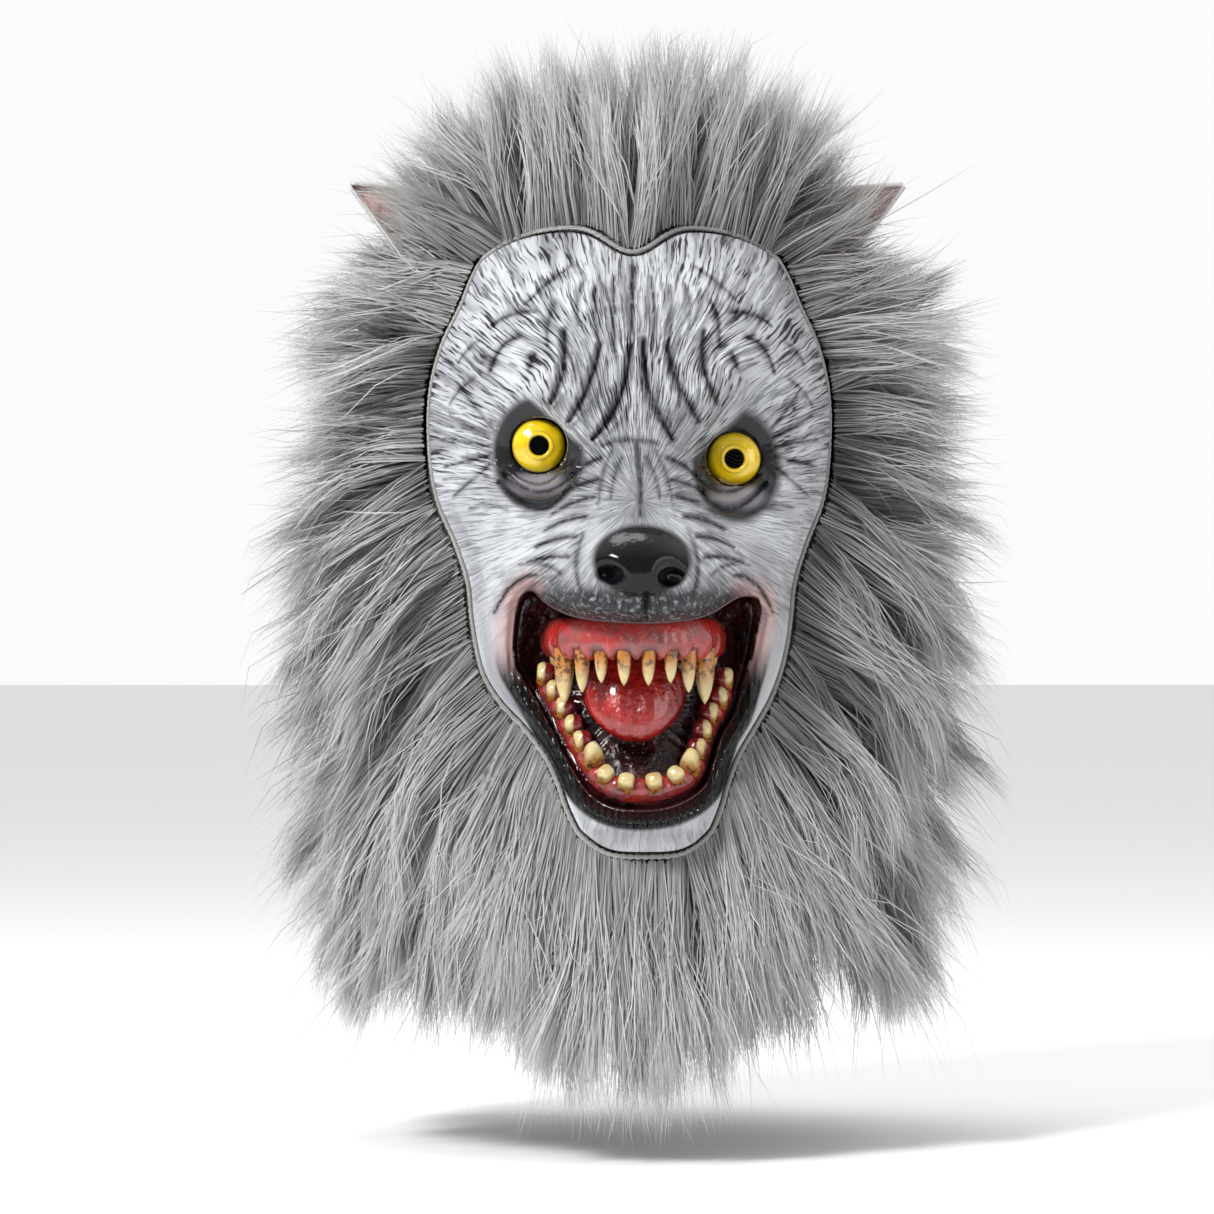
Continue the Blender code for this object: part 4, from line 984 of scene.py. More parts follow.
# radius (share of EYE_RADIUS), height (share of EYE_HEIGHT), dark line (0 to 1)
EYE_PROFILE = (
    (0.35, 0.70, 1.0), (0.35, 0.96, 1.0), (0.37, 1.03, 0.5), (0.42, 1.07, 0.0),
    (0.48, 1.07, 0.0), (0.53, 1.02, 0.35), (0.58, 0.99, 0.0), (0.70, 0.94, 0.0),
    (0.82, 0.85, 0.0), (0.92, 0.72, 0.0), (0.98, 0.56, 0.5), (1.00, 0.40, 1.0),
    (1.00, 0.0, 1.0), (0.86, 0.0, 1.0), (0.84, 0.50, 1.0), (0.62, 0.76, 1.0),
    (0.35, 0.70, 1.0),
)
turn = np.arange(EYE_STEPS) * 2 * math.pi / EYE_STEPS
for side, eye_across, eye_down in EYES:
    low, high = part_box(f"{side}_eye")
    mid_x, mid_z, back = (low[0] + high[0]) / 2, (low[2] + high[2]) / 2, high[1]
    rings = [
        np.stack(
            [
                mid_x + EYE_RADIUS * r * np.cos(turn),
                back - EYE_HEIGHT * h + 0 * turn,
                mid_z + EYE_RADIUS * r * np.sin(turn),
            ],
            axis=-1,
        )
        for r, h, _ in EYE_PROFILE
    ]
    faces = grid_faces(len(rings), EYE_STEPS, closed=True)
    eye = make_piece(f"{side}_eye_dome", np.concatenate(rings), faces.tolist(), eye_paint)
    brush_on(eye, "rim", np.repeat([row[2] for row in EYE_PROFILE], EYE_STEPS))
    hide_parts(f"{side}_eye")

# %% [markdown]
# ## Inside the mouth
# Behind the lips is a bowl cast in one piece, painted wine red and varnished.
# The bowl's floor carries ridges like a palate.

# %% The bowl
LINING_WALL = 0.0015
LINING_SINK = 0.0122
FIT_GAP = 0.0003
LINING_MIDDLE = np.array((0.0, face_z(0.765)))
# share of the way out to the edge, share of the depth from the floor to the lip
LINING_RINGS = (
    (1.00, 1.00), (0.995, 0.78), (0.99, 0.55), (0.987, 0.30), (0.985, 0.10),
    (0.965, 0.02), (0.93, 0.0), (0.80, 0.0), (0.65, 0.0), (0.50, 0.0),
    (0.35, 0.0), (0.20, 0.0), (0.08, 0.0), (0.0, 0.0),
)


def make_lining_paint():
    made, tree, shader = start_material("wine red varnish", 0.16, Coat_Weight=0.5)
    tone = mixed(tree, cloudy(tree, 90.0, 0.35, 0.7), (0.014, 0.004, 0.005), (0.075, 0.007, 0.009))
    tree.links.new(tone, shader.inputs["Base Color"])
    tree.links.new(lumpy(tree, 220.0, 0.0022), shader.inputs["Normal"])
    return made


def inset(points, by):
    """A closed clockwise outline moved inwards."""
    along = unit(np.roll(points, -1, axis=0) - np.roll(points, 1, axis=0))
    return points + np.stack([along[:, 1], -along[:, 0]], axis=-1) * by


lining_paint = make_lining_paint()
lining_edge = inset(mouth_fine, 2 * FIT_GAP)
lip_y = face_depth(mouth_fine[:, 0], mouth_fine[:, 1], 0 * mouth_fine[:, 0]) - 0.2 * LIP_RISE
rings = []
for out, depth in LINING_RINGS:
    spot = LINING_MIDDLE + (lining_edge - LINING_MIDDLE) * out
    ridge = 0.0012 * np.sin(spot[:, 1] * 1500) * soft(depth, 0.3, 0.0) * soft(out, 0.95, 0.8)
    floor = base_depth(spot[:, 0], spot[:, 1]) - LINING_SINK + ridge
    rings.append(np.stack([spot[:, 0], -(floor + (lip_y - floor) * depth), spot[:, 1]], axis=-1))
faces = grid_faces(len(rings), len(lining_edge), closed=True)
bowl = make_piece("mouth_bowl", np.concatenate(rings), faces.tolist(), lining_paint)
finer = bowl.modifiers.new("finer", "SUBSURF")
finer.levels = finer.render_levels = 1
shell = bowl.modifiers.new("wall", "SOLIDIFY")
shell.thickness = LINING_WALL
shell.offset = 1.0
apply_modifiers(bowl)
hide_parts("mouth_lining")

# %% [markdown]
# ## Gums
# A gum follows the arch of the teeth. Its free edge is scalloped: it climbs round
# each tooth's neck and drops to a point between two teeth. The section is swept
# along the arch, and its free side is moved by the distance to the nearest tooth.

# %% Gum material
def make_gum_paint():
    made, tree, shader = start_material("gum paint", 0.20, Coat_Weight=0.7)
    shader.inputs["Coat Roughness"].default_value = 0.08
    tone = mixed(tree, cloudy(tree, 110.0, 0.40, 0.66), (0.38, 0.020, 0.016), (0.19, 0.042, 0.042))
    # darker on the gum's free side next to each tooth
    tone = mixed(tree, read(tree, "joint_dark"), tone, (0.035, 0.006, 0.006))
    tree.links.new(tone, shader.inputs["Base Color"])
    tree.links.new(lumpy(tree, 380.0, 0.0010), shader.inputs["Normal"])
    return made


gum_paint = make_gum_paint()

# %% Places of the upper and lower teeth
UPPER_GUM_HALF_WIDTH = 0.0365
UPPER_GUM_REACH = 0.050
UPPER_GUM_RADIUS = 0.0058
LOWER_GUM_RADIUS = 0.0055
LOWER_GUM_BEHIND_LIP = 0.0065
LOWER_GUM_TOP = 0.700
FANG_LENGTH = 0.027
TOOTH_RADIUS = 0.0040
TOOTH_ROOT = 0.003
# across the gum (share of its half width), length, radius (shares)
UPPER_TEETH = (
    (0.15, 0.68, 0.85),
    (0.42, 0.64, 0.80),
    (0.65, 0.80, 0.88),
    (0.86, 1.00, 1.12),
    (0.975, 0.42, 0.62),
)
# along the gum from its middle, length, root and tip radius (shares)
LOWER_TEETH = (
    (0.075, 0.32, 0.95, 0.90),
    (0.215, 0.32, 0.95, 0.90),
    (0.365, 0.62, 1.25, 0.35),
    (0.495, 0.34, 1.08, 1.02),
    (0.608, 0.34, 1.08, 1.02),
    (0.720, 0.34, 1.08, 1.02),
    (0.832, 0.34, 1.08, 1.02),
    (0.944, 0.34, 1.08, 1.02),
)
upper_z = mouth_edge[np.abs(mouth_edge[:, 0]) < 0.2 * UPPER_GUM_HALF_WIDTH][:, 1].max()
upper_z -= UPPER_GUM_RADIUS + LINING_WALL + 5 * FIT_GAP
upper_back = base_depth(UPPER_GUM_HALF_WIDTH - UPPER_GUM_RADIUS, upper_z)
upper_back += LINING_WALL + 3 * FIT_GAP - LINING_SINK


def upper_arch(share):
    """Points of the upper arch at shares of its half width."""
    along = np.arcsin(np.clip(share, -1, 1))
    x = UPPER_GUM_HALF_WIDTH * np.sin(along)
    y = -upper_back - UPPER_GUM_REACH * np.cos(along)
    return np.stack([x, y, upper_z + 0 * x], axis=-1)


low_edge = inset(mouth_edge, LOWER_GUM_RADIUS + LINING_WALL + 6 * FIT_GAP)
on_jaw = mouth_edge[:, 1] < face_z(LOWER_GUM_TOP)
jaw_lip = face_depth(mouth_edge[:, 0], mouth_edge[:, 1], 0 * mouth_edge[:, 0])
lower_path = np.stack([low_edge[:, 0], LOWER_GUM_BEHIND_LIP - jaw_lip, low_edge[:, 1]], axis=-1)
lower_path = lower_path[on_jaw]
lower_steps = np.linalg.norm(np.diff(lower_path, axis=0), axis=1)
lower_lengths = np.concatenate([[0], np.cumsum(lower_steps)])


def along_lower(share):
    """Points of the lower gum's line, -1 and 1 at its ends and 0 at its middle."""
    at = (1 - np.asarray(share)) / 2 * lower_lengths[-1]
    return np.stack([np.interp(at, lower_lengths, lower_path[:, i]) for i in range(3)], axis=-1)


print("lower gum:", round(lower_lengths[-1] * 1000), "mm long")

# %% Sweep the gums
GUM_STEPS = 260
GUM_SIDES = 20


def sweep_gum(name, line, up, radius, tall, teeth, drop, node):
    """A gum along a line, its free edge scalloped by the teeth's places."""
    along = unit(np.gradient(line, axis=0))
    out = unit(np.cross(along, up))
    near = np.linalg.norm(line[:, None] - teeth[None], axis=-1).min(axis=1)
    valley = soft(near, 0.0018, 0.0052)
    ends = np.minimum(np.arange(GUM_STEPS), np.arange(GUM_STEPS)[::-1]) / 14
    round_end = np.sqrt(np.clip(1 - (1 - np.clip(ends, 0, 1)) ** 2, 0.02, 1))
    rings, joint_dark = [], []
    for angle in np.arange(GUM_SIDES) * 2 * math.pi / GUM_SIDES:
        side, rise = math.cos(angle), math.sin(angle)
        wide = radius * (0.92 + 0.10 * valley) * side * round_end
        free = drop * (valley - 0.25) if rise > 0 else 0
        high = (radius * (1 if rise > 0 else tall) + free) * rise * round_end
        rings.append(line + out * wide[:, None] + up * high[:, None])
        # darker on the free side next to each tooth
        joint_dark.append((1 - valley) * max(0, rise) * 0.85)
    points = np.stack(rings, axis=1).reshape(-1, 3)
    faces = grid_faces(GUM_STEPS, GUM_SIDES, closed=True).tolist()
    faces.append(list(range(GUM_SIDES))[::-1])
    faces.append([(GUM_STEPS - 1) * GUM_SIDES + i for i in range(GUM_SIDES)])
    gum = make_piece(name, points, faces, gum_paint)
    brush_on(gum, "joint_dark", np.stack(joint_dark, axis=1).ravel())
    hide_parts(node)
    return gum


shares = np.sin(np.linspace(-math.pi / 2, math.pi / 2, GUM_STEPS))
upper_shares = np.array([side * row[0] for row in UPPER_TEETH for side in (-1, 1)])
lower_shares = np.array([side * row[0] for row in LOWER_TEETH for side in (-1, 1)])
UPPER_AXIS = np.array((0, -0.0995, -0.995))
LOWER_AXIS = np.array((0, -0.80, 0.60))
sweep_gum(
    "upper_gums", upper_arch(shares), UPPER_AXIS, UPPER_GUM_RADIUS, 1.9,
    upper_arch(upper_shares), 0.0030, "upper_gum",
)
sweep_gum(
    "lower_gums", along_lower(np.linspace(-1, 1, GUM_STEPS)), LOWER_AXIS, LOWER_GUM_RADIUS,
    1.0, along_lower(lower_shares), 0.0012, "lower_gum",
)

# %% [markdown]
# ## Teeth
# The fangs are curved cones, cream at the tip and amber at the neck, and darker in
# patches at the neck, where they meet the gum. The back teeth are blunt pegs: cream
# on the lip's side and red on the tongue's side, as if the gum's paint ran over them.

# %% Tooth material
def make_tooth_paint():
    made, tree, shader = start_material("tooth paint", 0.22, Coat_Weight=0.4)
    shader.inputs["Coat Roughness"].default_value = 0.10
    neck = read(tree, "neck")
    tone = mixed(tree, cloudy(tree, 130.0, 0.35, 0.7), (0.56, 0.47, 0.24), (0.45, 0.33, 0.12))
    tone = mixed(tree, neck, tone, (0.40, 0.15, 0.026))
    # darker in patches at the neck, where the tooth meets the gum
    joint_dark = times(tree, neck, cloudy(tree, 420.0, 0.50, 0.60))
    tone = mixed(tree, times(tree, joint_dark, 0.9), tone, (0.030, 0.020, 0.014))
    tone = mixed(tree, read(tree, "red_side"), tone, (0.13, 0.006, 0.008))
    tree.links.new(tone, shader.inputs["Base Color"])
    tree.links.new(lumpy(tree, 240.0, 0.0010), shader.inputs["Normal"])
    return made


tooth_paint = make_tooth_paint()

# %% Make a row of teeth
TOOTH_SIDES = 20
TOOTH_STEPS = 14


def tooth_arrays(root, axis, length, section, bend, outward, seed):
    """Points of one tooth, how near its neck and how far inward each one is."""
    t = np.linspace(0, 1, TOOTH_STEPS)
    line = root + axis * (length * t)[:, None] + bend * (length * t * t)[:, None]
    side = np.cross(axis, outward)
    angle = np.arange(TOOTH_SIDES) * 2 * math.pi / TOOTH_SIDES
    square = (np.abs(np.cos(angle)) ** 3 + np.abs(np.sin(angle)) ** 3) ** (-1 / 3)
    radius = section(t)[:, None] * (1 + 0.05 * np.sin(3 * angle + seed)) * square
    out = (radius * np.cos(angle))[..., None] * outward
    across = (radius * np.sin(angle))[..., None] * side
    points = line[:, None] + out + across
    inward = np.broadcast_to(-np.cos(angle), radius.shape)
    return points.reshape(-1, 3), np.repeat(t, TOOTH_SIDES), inward.ravel()


def build_teeth(name, teeth, nodes, red):
    """One piece with all teeth of a row."""
    points, faces, necks, reds = [], [], [], []
    for number, values in enumerate(teeth):
        made, t, inward = tooth_arrays(*values[:-1], seed=number * 1.7)
        start = number * len(made)
        points.append(made)
        faces += grid_faces(TOOTH_STEPS, TOOTH_SIDES, True, start).tolist()
        faces.append([start + i for i in range(TOOTH_SIDES)][::-1])
        last = start + (TOOTH_STEPS - 1) * TOOTH_SIDES
        faces.append([last + i for i in range(TOOTH_SIDES)])
        necks.append(soft(t, 0.82, 0.34))
        reds.append(soft(inward, -0.45, 0.0) * values[-1])
    piece = make_piece(name, np.concatenate(points), faces, tooth_paint)
    brush_on(piece, "neck", np.concatenate(necks))
    brush_on(piece, "red_side", np.concatenate(reds) * red)
    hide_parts(*nodes)
    return piece


def fang_section(radius):
    """A fang keeps its width past the neck and closes to a small round tip."""
    return lambda t: radius * (0.88 + 0.3 * t) * np.clip(1 - t**2.2, 0, 1) ** 0.75 + 1e-5


def peg_section(thick, tip):
    """A blunt crown with a rounded top."""
    return lambda t: (thick + (tip - thick) * t) * np.clip(1 - t**9, 0, 1) ** 0.5 + 1e-5


upper_rows = []
for share, length, radius in UPPER_TEETH:
    for side in (-1, 1):
        root = upper_arch(side * share) + UPPER_AXIS * 0.2 * UPPER_GUM_RADIUS
        out = np.array((0.55 * side * share, -1, 0))
        out = out - UPPER_AXIS * out.dot(UPPER_AXIS)
        section = fang_section(radius * TOOTH_RADIUS)
        bend = np.array((0, 0.08, 0))
        reach = length * FANG_LENGTH
        upper_rows.append((root, UPPER_AXIS, reach, section, bend, unit(out), 0.0))
upper_nodes = [f"upper_tooth_{number:02d}" for number in range(1, 11)]
build_teeth("upper_teeth", upper_rows, upper_nodes, 0.0)

lower_rows = []
for share, length, thick, tip in LOWER_TEETH:
    for side in (-1, 1):
        root = along_lower(side * share) + LOWER_AXIS * (LOWER_GUM_RADIUS - TOOTH_ROOT)
        out = np.array((side * min(1, share * 2.2), 0, -max(0, 1 - share * 1.6)))
        out = unit(out - LOWER_AXIS * out.dot(LOWER_AXIS))
        section = peg_section(thick * TOOTH_RADIUS, tip * TOOTH_RADIUS)
        if tip < 0.5:
            section = fang_section(thick * TOOTH_RADIUS)
        reach = length * FANG_LENGTH
        bend = np.zeros(3)
        lower_rows.append((root, LOWER_AXIS, reach, section, bend, out, float(share > 0.4)))
lower_nodes = [f"lower_tooth_{number:02d}" for number in range(1, 17)]
build_teeth("lower_teeth", lower_rows, lower_nodes, 1.0)

# %% [markdown]
# ## Tongue
# A bright red pad with a groove down its middle. It is a rounded form pressed
# onto the bowl's floor, with small bumps that catch the light.

# %% The tongue
TONGUE_HALF_WIDTH = 0.0235
TONGUE_HALF_LENGTH = 0.023
TONGUE_HALF_DEPTH = 0.012


def make_tongue_paint():
    made, tree, shader = start_material("tongue paint", 0.14, Coat_Weight=0.8)
    shader.inputs["Coat Roughness"].default_value = 0.06
    tone = mixed(tree, cloudy(tree, 80.0, 0.35, 0.68), (0.36, 0.010, 0.008), (0.13, 0.006, 0.006))
    tree.links.new(tone, shader.inputs["Base Color"])
    tree.links.new(lumpy(tree, 330.0, 0.0014), shader.inputs["Normal"])
    return made


tongue_paint = make_tongue_paint()
rows, columns = 60, 80
lat, lon = np.mgrid[0 : math.pi : rows * 1j, 0 : 2 * math.pi : (columns + 1) * 1j]
lat, lon = lat[:, :-1], lon[:, :-1]
ball_x, ball_y = np.sin(lat) * np.cos(lon), np.sin(lat) * np.sin(lon)
ball_z = np.cos(lat)
tongue_z = face_z(0.745)
x = TONGUE_HALF_WIDTH * ball_x * (1 - 0.18 * ball_z**2)
z = tongue_z + TONGUE_HALF_LENGTH * ball_z
floor = base_depth(x, z) - LINING_SINK + LINING_WALL + 2 * FIT_GAP
groove = 0.0022 * np.exp(-((x / 0.004) ** 2)) * (ball_y < 0)
rise = TONGUE_HALF_DEPTH * (1 - ball_y) - groove
y = -(floor + rise - 0.15 * (z - tongue_z))
faces = grid_faces(rows, columns, closed=True)
points = np.stack([x, y, z], axis=-1).reshape(-1, 3)
pad = make_piece("tongue_pad", points, faces.tolist(), tongue_paint)
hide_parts("tongue")

# %% [markdown]
# ## Knitted hood, its edging and the ears
# The hood is seen between the fur's roots and through the neck: dark knitted
# fabric. A pale cord of the same yarn is sewn round the latex. The ears are
# cupped latex leaves, pink inside.

# %% Fabric for the hood and the edging
def make_knit(name, pale, dark, size):
    made, tree, shader = start_material(name, 0.95, Specular_IOR_Level=0.2)
    place = add_node(tree, "ShaderNodeTexCoord")
    ribs = add_node(
        tree,
        "ShaderNodeTexWave",
        {"Vector": place.outputs["Object"], "Scale": size, "Distortion": 2.0, "Detail": 1.0},
        bands_direction="DIAGONAL",
    )
    tone = mixed(tree, ribs.outputs["Fac"], dark, pale)
    tone = mixed(tree, cloudy(tree, 60.0, 0.35, 0.8), tone, dark)
    tree.links.new(tone, shader.inputs["Base Color"])
    rib = add_node(tree, "ShaderNodeBump", {"Height": ribs.outputs["Fac"], "Distance": 0.0004})
    tree.links.new(rib.outputs["Normal"], shader.inputs["Normal"])
    return made


hood_knit = make_knit("hood knit", (0.150, 0.148, 0.144), (0.085, 0.083, 0.080), 320.0)
cord_knit = make_knit("edging knit", (0.56, 0.56, 0.54), (0.34, 0.34, 0.33), 900.0)
bpy.data.objects["hood"].data.materials[0] = hood_knit

# %% The edging
EDGING_RADIUS = 0.0011
EDGING_SIDES = 8


def rim_outline(columns, rows):
    """The face's rim, clockwise, as arcs across the hood and heights."""
    across, down = np.linspace(-1, 1, columns + 1), np.linspace(0, 1, rows + 1)
    u = np.concatenate([across[:-1], 0 * down[:-1] + 1, across[:0:-1], 0 * down[:0:-1] - 1])
    v = np.concatenate([0 * across[:-1], down[:-1], 0 * across[:0:-1] + 1, down[:0:-1]])
    x, z = face_place(u, v)
    wide = hood_reach(z, FACE_STAND)[0]
    arc = HOOD_HALF_WIDTH * np.arcsin(np.clip(x / wide, -1, 1))
    return np.stack([arc, z], axis=-1)


def make_edging():
    rim = inset(rim_outline(120, 180), -(EDGING_RADIUS + 0.0012))
    line = hood_points(rim[:, 0] / HOOD_HALF_WIDTH, rim[:, 1], EDGING_RADIUS + 0.0008)
    along = unit(np.roll(line, -1, axis=0) - np.roll(line, 1, axis=0))
    out = unit(line * (1, 1, 0))
    side = unit(np.cross(along, out))
    out = np.cross(side, along)
    travelled = np.cumsum(np.linalg.norm(np.roll(line, -1, axis=0) - line, axis=1))
    rings = []
    for i in range(EDGING_SIDES):
        angle = 2 * math.pi * i / EDGING_SIDES
        ply = 1 + 0.22 * np.sin(2 * angle + travelled * 1900)
        ring = out * math.cos(angle) + side * math.sin(angle)
        rings.append(line + ring * (EDGING_RADIUS * ply)[:, None])
    points = np.stack(rings, axis=1).reshape(-1, 3)
    faces = grid_faces(len(line), EDGING_SIDES, closed=True)
    joint = np.arange(EDGING_SIDES)
    last = (len(line) - 1) * EDGING_SIDES
    after = (joint + 1) % EDGING_SIDES
    closing = np.stack([last + joint, last + after, after, joint], axis=-1)
    return points, np.concatenate([faces, closing])


points, faces = make_edging()
edging = make_piece("edging_cord", points, faces.tolist(), cord_knit)
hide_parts("stitched_edge")

# %% The ears
EAR_LENGTH = 0.068
EAR_HALF_WIDTH = 0.023
EAR_CUP = 0.010


def make_ear_paint():
    made, tree, shader = start_material("ear paint", 0.5)
    tone = mixed(tree, cloudy(tree, 70.0, 0.35, 0.7), (0.50, 0.34, 0.32), (0.28, 0.20, 0.19))
    tone = mixed(tree, read(tree, "edge"), tone, (0.46, 0.45, 0.44))
    tree.links.new(tone, shader.inputs["Base Color"])
    tree.links.new(lumpy(tree, 260.0, 0.0012), shader.inputs["Normal"])
    return made


ear_paint = make_ear_paint()
for side, sign in (("left", -1), ("right", 1)):
    root = hood_points(np.array(sign * math.radians(92)), RING_Z + 0.80 * DOME_HEIGHT, -0.004)
    axis = unit(np.array((sign * 0.87, -0.06, 0.48)))
    across = unit(np.array((-sign * 0.48, 0.0, 0.87)))
    v, u = np.mgrid[0.02 : 1 : 36j, -1 : 1 : 31j]
    width = EAR_HALF_WIDTH * (1 - 0.97 * v**1.6)
    cup = EAR_CUP * (1 - u * u) * (1 - 0.7 * v) + 0.0006 * np.sin(u * 22) * (1 - v)
    points = root + axis * (EAR_LENGTH * v)[..., None] + across * (width * u)[..., None]
    points = points + np.stack([0 * cup, cup, 0 * cup], axis=-1)
    faces = grid_faces(36, 31)
    leaf = make_piece(
        f"{side}_ear_leaf", points.reshape(-1, 3), faces.tolist(), ear_paint
    )
    brush_on(leaf, "edge", soft(np.abs(u), 0.78, 1.0).ravel())
    wall = leaf.modifiers.new("wall", "SOLIDIFY")
    wall.thickness = 0.0018
    wall.offset = 0.0
    apply_modifiers(leaf)
    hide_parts(f"{side}_ear")

# %% [markdown]
# ## Fur
# Long acrylic pile falls in locks: hairs start evenly over the backing and run
# together towards their tips. A few hundred guide curves carry the locks. Each
# hair is a narrow ribbon that follows its guide, keeps its own root, and closes
# in on the guide as it goes. A share of them stray, which gives the soft outline.

# %% How the pile grows, by height
# height (share of the dome above the ring, of the sleeve below), rise at the
# root and at the tip in degrees, length in metres
GROWTH = (
    (-1.00, -50, -84, 0.078),
    (-0.88, -44, -78, 0.090),
    (-0.64, -34, -66, 0.106),
    (-0.42, -26, -56, 0.104),
    (-0.22, -16, -46, 0.092),
    (-0.03, -6, -30, 0.080),
    (0.28, 4, -16, 0.072),
    (0.54, 18, -4, 0.072),
    (0.80, 44, 26, 0.074),
    (0.91, 62, 44, 0.074),
    (1.00, 84, 64, 0.062),
)
# panel: first and last azimuth in degrees, hairs, guides
PANELS = (
    ("crown", 0, 360, 21000, 190),
    ("left_side", -120, -35, 21500, 210),
    ("right_side", 35, 120, 21500, 210),
    ("back", 120, 240, 13500, 130),
    ("chin", -35, 35, 13500, 110),
)
CROWN_RISE = math.tan(math.radians(43))
RIM_CLEARANCE = 0.0036
ROOT_LIFT = 0.002
SEARCH_LIFT = 0.003


def on_face(points):
    """True where a point of the hood lies under the face or close to its rim."""
    x, y, z = points.T
    down = face_down(z)
    u = (x / FACE_HALF_WIDTH - through(FACE_EDGE, 2, down)) / through(FACE_EDGE, 1, down)
    margin = RIM_CLEARANCE / FACE_HALF_WIDTH / through(FACE_EDGE, 1, down)
    inside = np.abs(u) < 1 + margin
    u = np.clip(u, -1, 1)
    top, bottom = rim_heights(u)
    return inside & (z <= top + RIM_CLEARANCE) & (z >= bottom - RIM_CLEARANCE) & (y < 0)


def on_hood(azimuth, z, grow):
    """Points of the hood grown outwards, and upwards too above the ring."""
    above = np.clip((z - RING_Z) / DOME_HEIGHT, 0, 1)
    return hood_points(azimuth, z + grow * above, grow)


def dome_z(out):
    """Height of the dome where its section is a given share of the ring."""
    return RING_Z + DOME_HEIGHT * (1 - out**3) ** (1 / 3)


def in_panel(name, points, z):
    """True where points over heights z belong to the panel and lie free of the face."""
    steep = (z - RING_Z) > CROWN_RISE * np.hypot(points[:, 0], points[:, 1])
    return (steep == (name == "crown")) & ~on_face(points)


def sample_roots(panel, count, random):
    """Roots spread evenly over a panel of the hood, as azimuths and heights."""
    name, first, last, *_ = panel
    azimuth = np.radians(random.uniform(first, last, count * 6))
    if name == "crown":
        z = dome_z(0.93 * random.uniform(0, 1, count * 6) ** 0.44)
    else:
        z = random.uniform(HEM_Z + 0.004, RING_Z + 0.093, count * 6)
    keep = in_panel(name, on_hood(azimuth, z, SEARCH_LIFT), z)
    return azimuth[keep][:count], z[keep][:count]

# %% [markdown]
# A guide leaves the hood at one angle and ends at another, steeper one. Both
# come from the table of heights, and four areas of the real mask lean them
# elsewhere: the hairline stands up, the sides of the face hang, the hair is
# shorter round the ears, and the beard falls straight.

# %% How the pile leans in each area
GUIDE_STEPS = 12
CURL = 0.34
HAIRLINE = (76, 88, 0.080)
HANG = (-34, -82)
BEARD = (-68, -90)
BEARD_LONGER = 0.026
BEARD_SHORTER = 0.012
EAR_HEIGHT = 0.72
EAR_SPREAD = (0.12, 0.16)
SHORT_BY_EAR = 0.45


def growth_of(azimuth, z):
    """Rise at root and tip in radians, and length, for guides at given roots."""
    above = (z - RING_Z) / DOME_HEIGHT
    height = np.where(z > RING_Z, above, (z - RING_Z) / HOOD_DROP)
    ahead, aside = np.cos(azimuth), np.abs(np.sin(azimuth))
    root, tip, length = [through(GROWTH, column, height) for column in (1, 2, 3)]
    hairline = soft(ahead, 0.55, 0.80) * soft(height, 0.55, 0.80)
    hang = soft(ahead, 0.15, 0.60) * soft(height, 0.55, -0.05)
    beard = soft(ahead, 0.45, 0.85) * soft(height, -0.45, -0.75)
    root = root + (HAIRLINE[0] - root) * hairline
    tip = tip + (HAIRLINE[1] - tip) * hairline
    length = length + (HAIRLINE[2] - length) * hairline
    for share, lean in ((hang, HANG), (beard, BEARD)):
        root = root + (lean[0] - root) * share
        tip = tip + (lean[1] - tip) * share
    ear = ((aside - 1) / EAR_SPREAD[0]) ** 2 + ((height - EAR_HEIGHT) / EAR_SPREAD[1]) ** 2
    length = length * (1 - SHORT_BY_EAR * np.exp(-ear))
    middle = soft(ahead, 0.84, 0.99)
    length = length + (BEARD_LONGER * middle - BEARD_SHORTER) * beard
    return np.radians(root), np.radians(tip), length

# %% Guides of the locks
SWEEP = math.radians(26)


def grow_guides(azimuth, z, random):
    """Guide curves as an array: guide, step, coordinate."""
    root, tip, length = growth_of(azimuth, z)
    length = length * random.uniform(0.82, 1.10, len(z))
    root = root + random.normal(0, 0.10, len(z))
    tip = tip + random.normal(0, 0.16, len(z))
    sweep = SWEEP * np.sign(np.sin(azimuth)) * soft(np.cos(azimuth), -0.1, 0.5)
    sweep = sweep * soft(z, HEM_Z, HEM_Z + 0.10)
    heading = azimuth + sweep + random.normal(0, 0.10, len(z))
    twist = random.normal(0, 0.42, len(z))
    phase = random.uniform(0, 2 * math.pi, (2, len(z)))
    point = on_hood(azimuth, z, ROOT_LIFT)
    line = [point]
    for step in range(GUIDE_STEPS):
        t = (step + 0.5) / GUIDE_STEPS
        rise = root + (tip - root) * t + CURL * t * np.sin(phase[0] + 6 * t)
        way = heading + twist * t + CURL * np.sin(phase[1] + 6 * t)
        flat = np.cos(rise)
        towards = np.stack([np.sin(way) * flat, -np.cos(way) * flat, np.sin(rise)], axis=-1)
        point = point + towards * (length / GUIDE_STEPS)[:, None]
        line.append(point)
    return np.stack(line, axis=1)

# %% [markdown]
# A hair strand object would need its own renderer settings and isn't exported,
# so each hair is a mesh ribbon: seven triangles, half a millimetre wide, rolled
# by chance round its own line so that it catches the light differently.

# %% Ribbons that follow the guides
HAIR_STEPS = 5
HAIR_HALF_WIDTH = 0.00026
HAIR_TAPER = (1.0, 1.0, 0.85, 0.55)
STRAY = 0.006
LOOSE_SHARE = 0.16
LOOSE_STRAY = 2.2
HELD_STRAY = 0.6
LONG_SHARE = 0.06
LONG_REACH = 1.12
WAVE = 0.0016


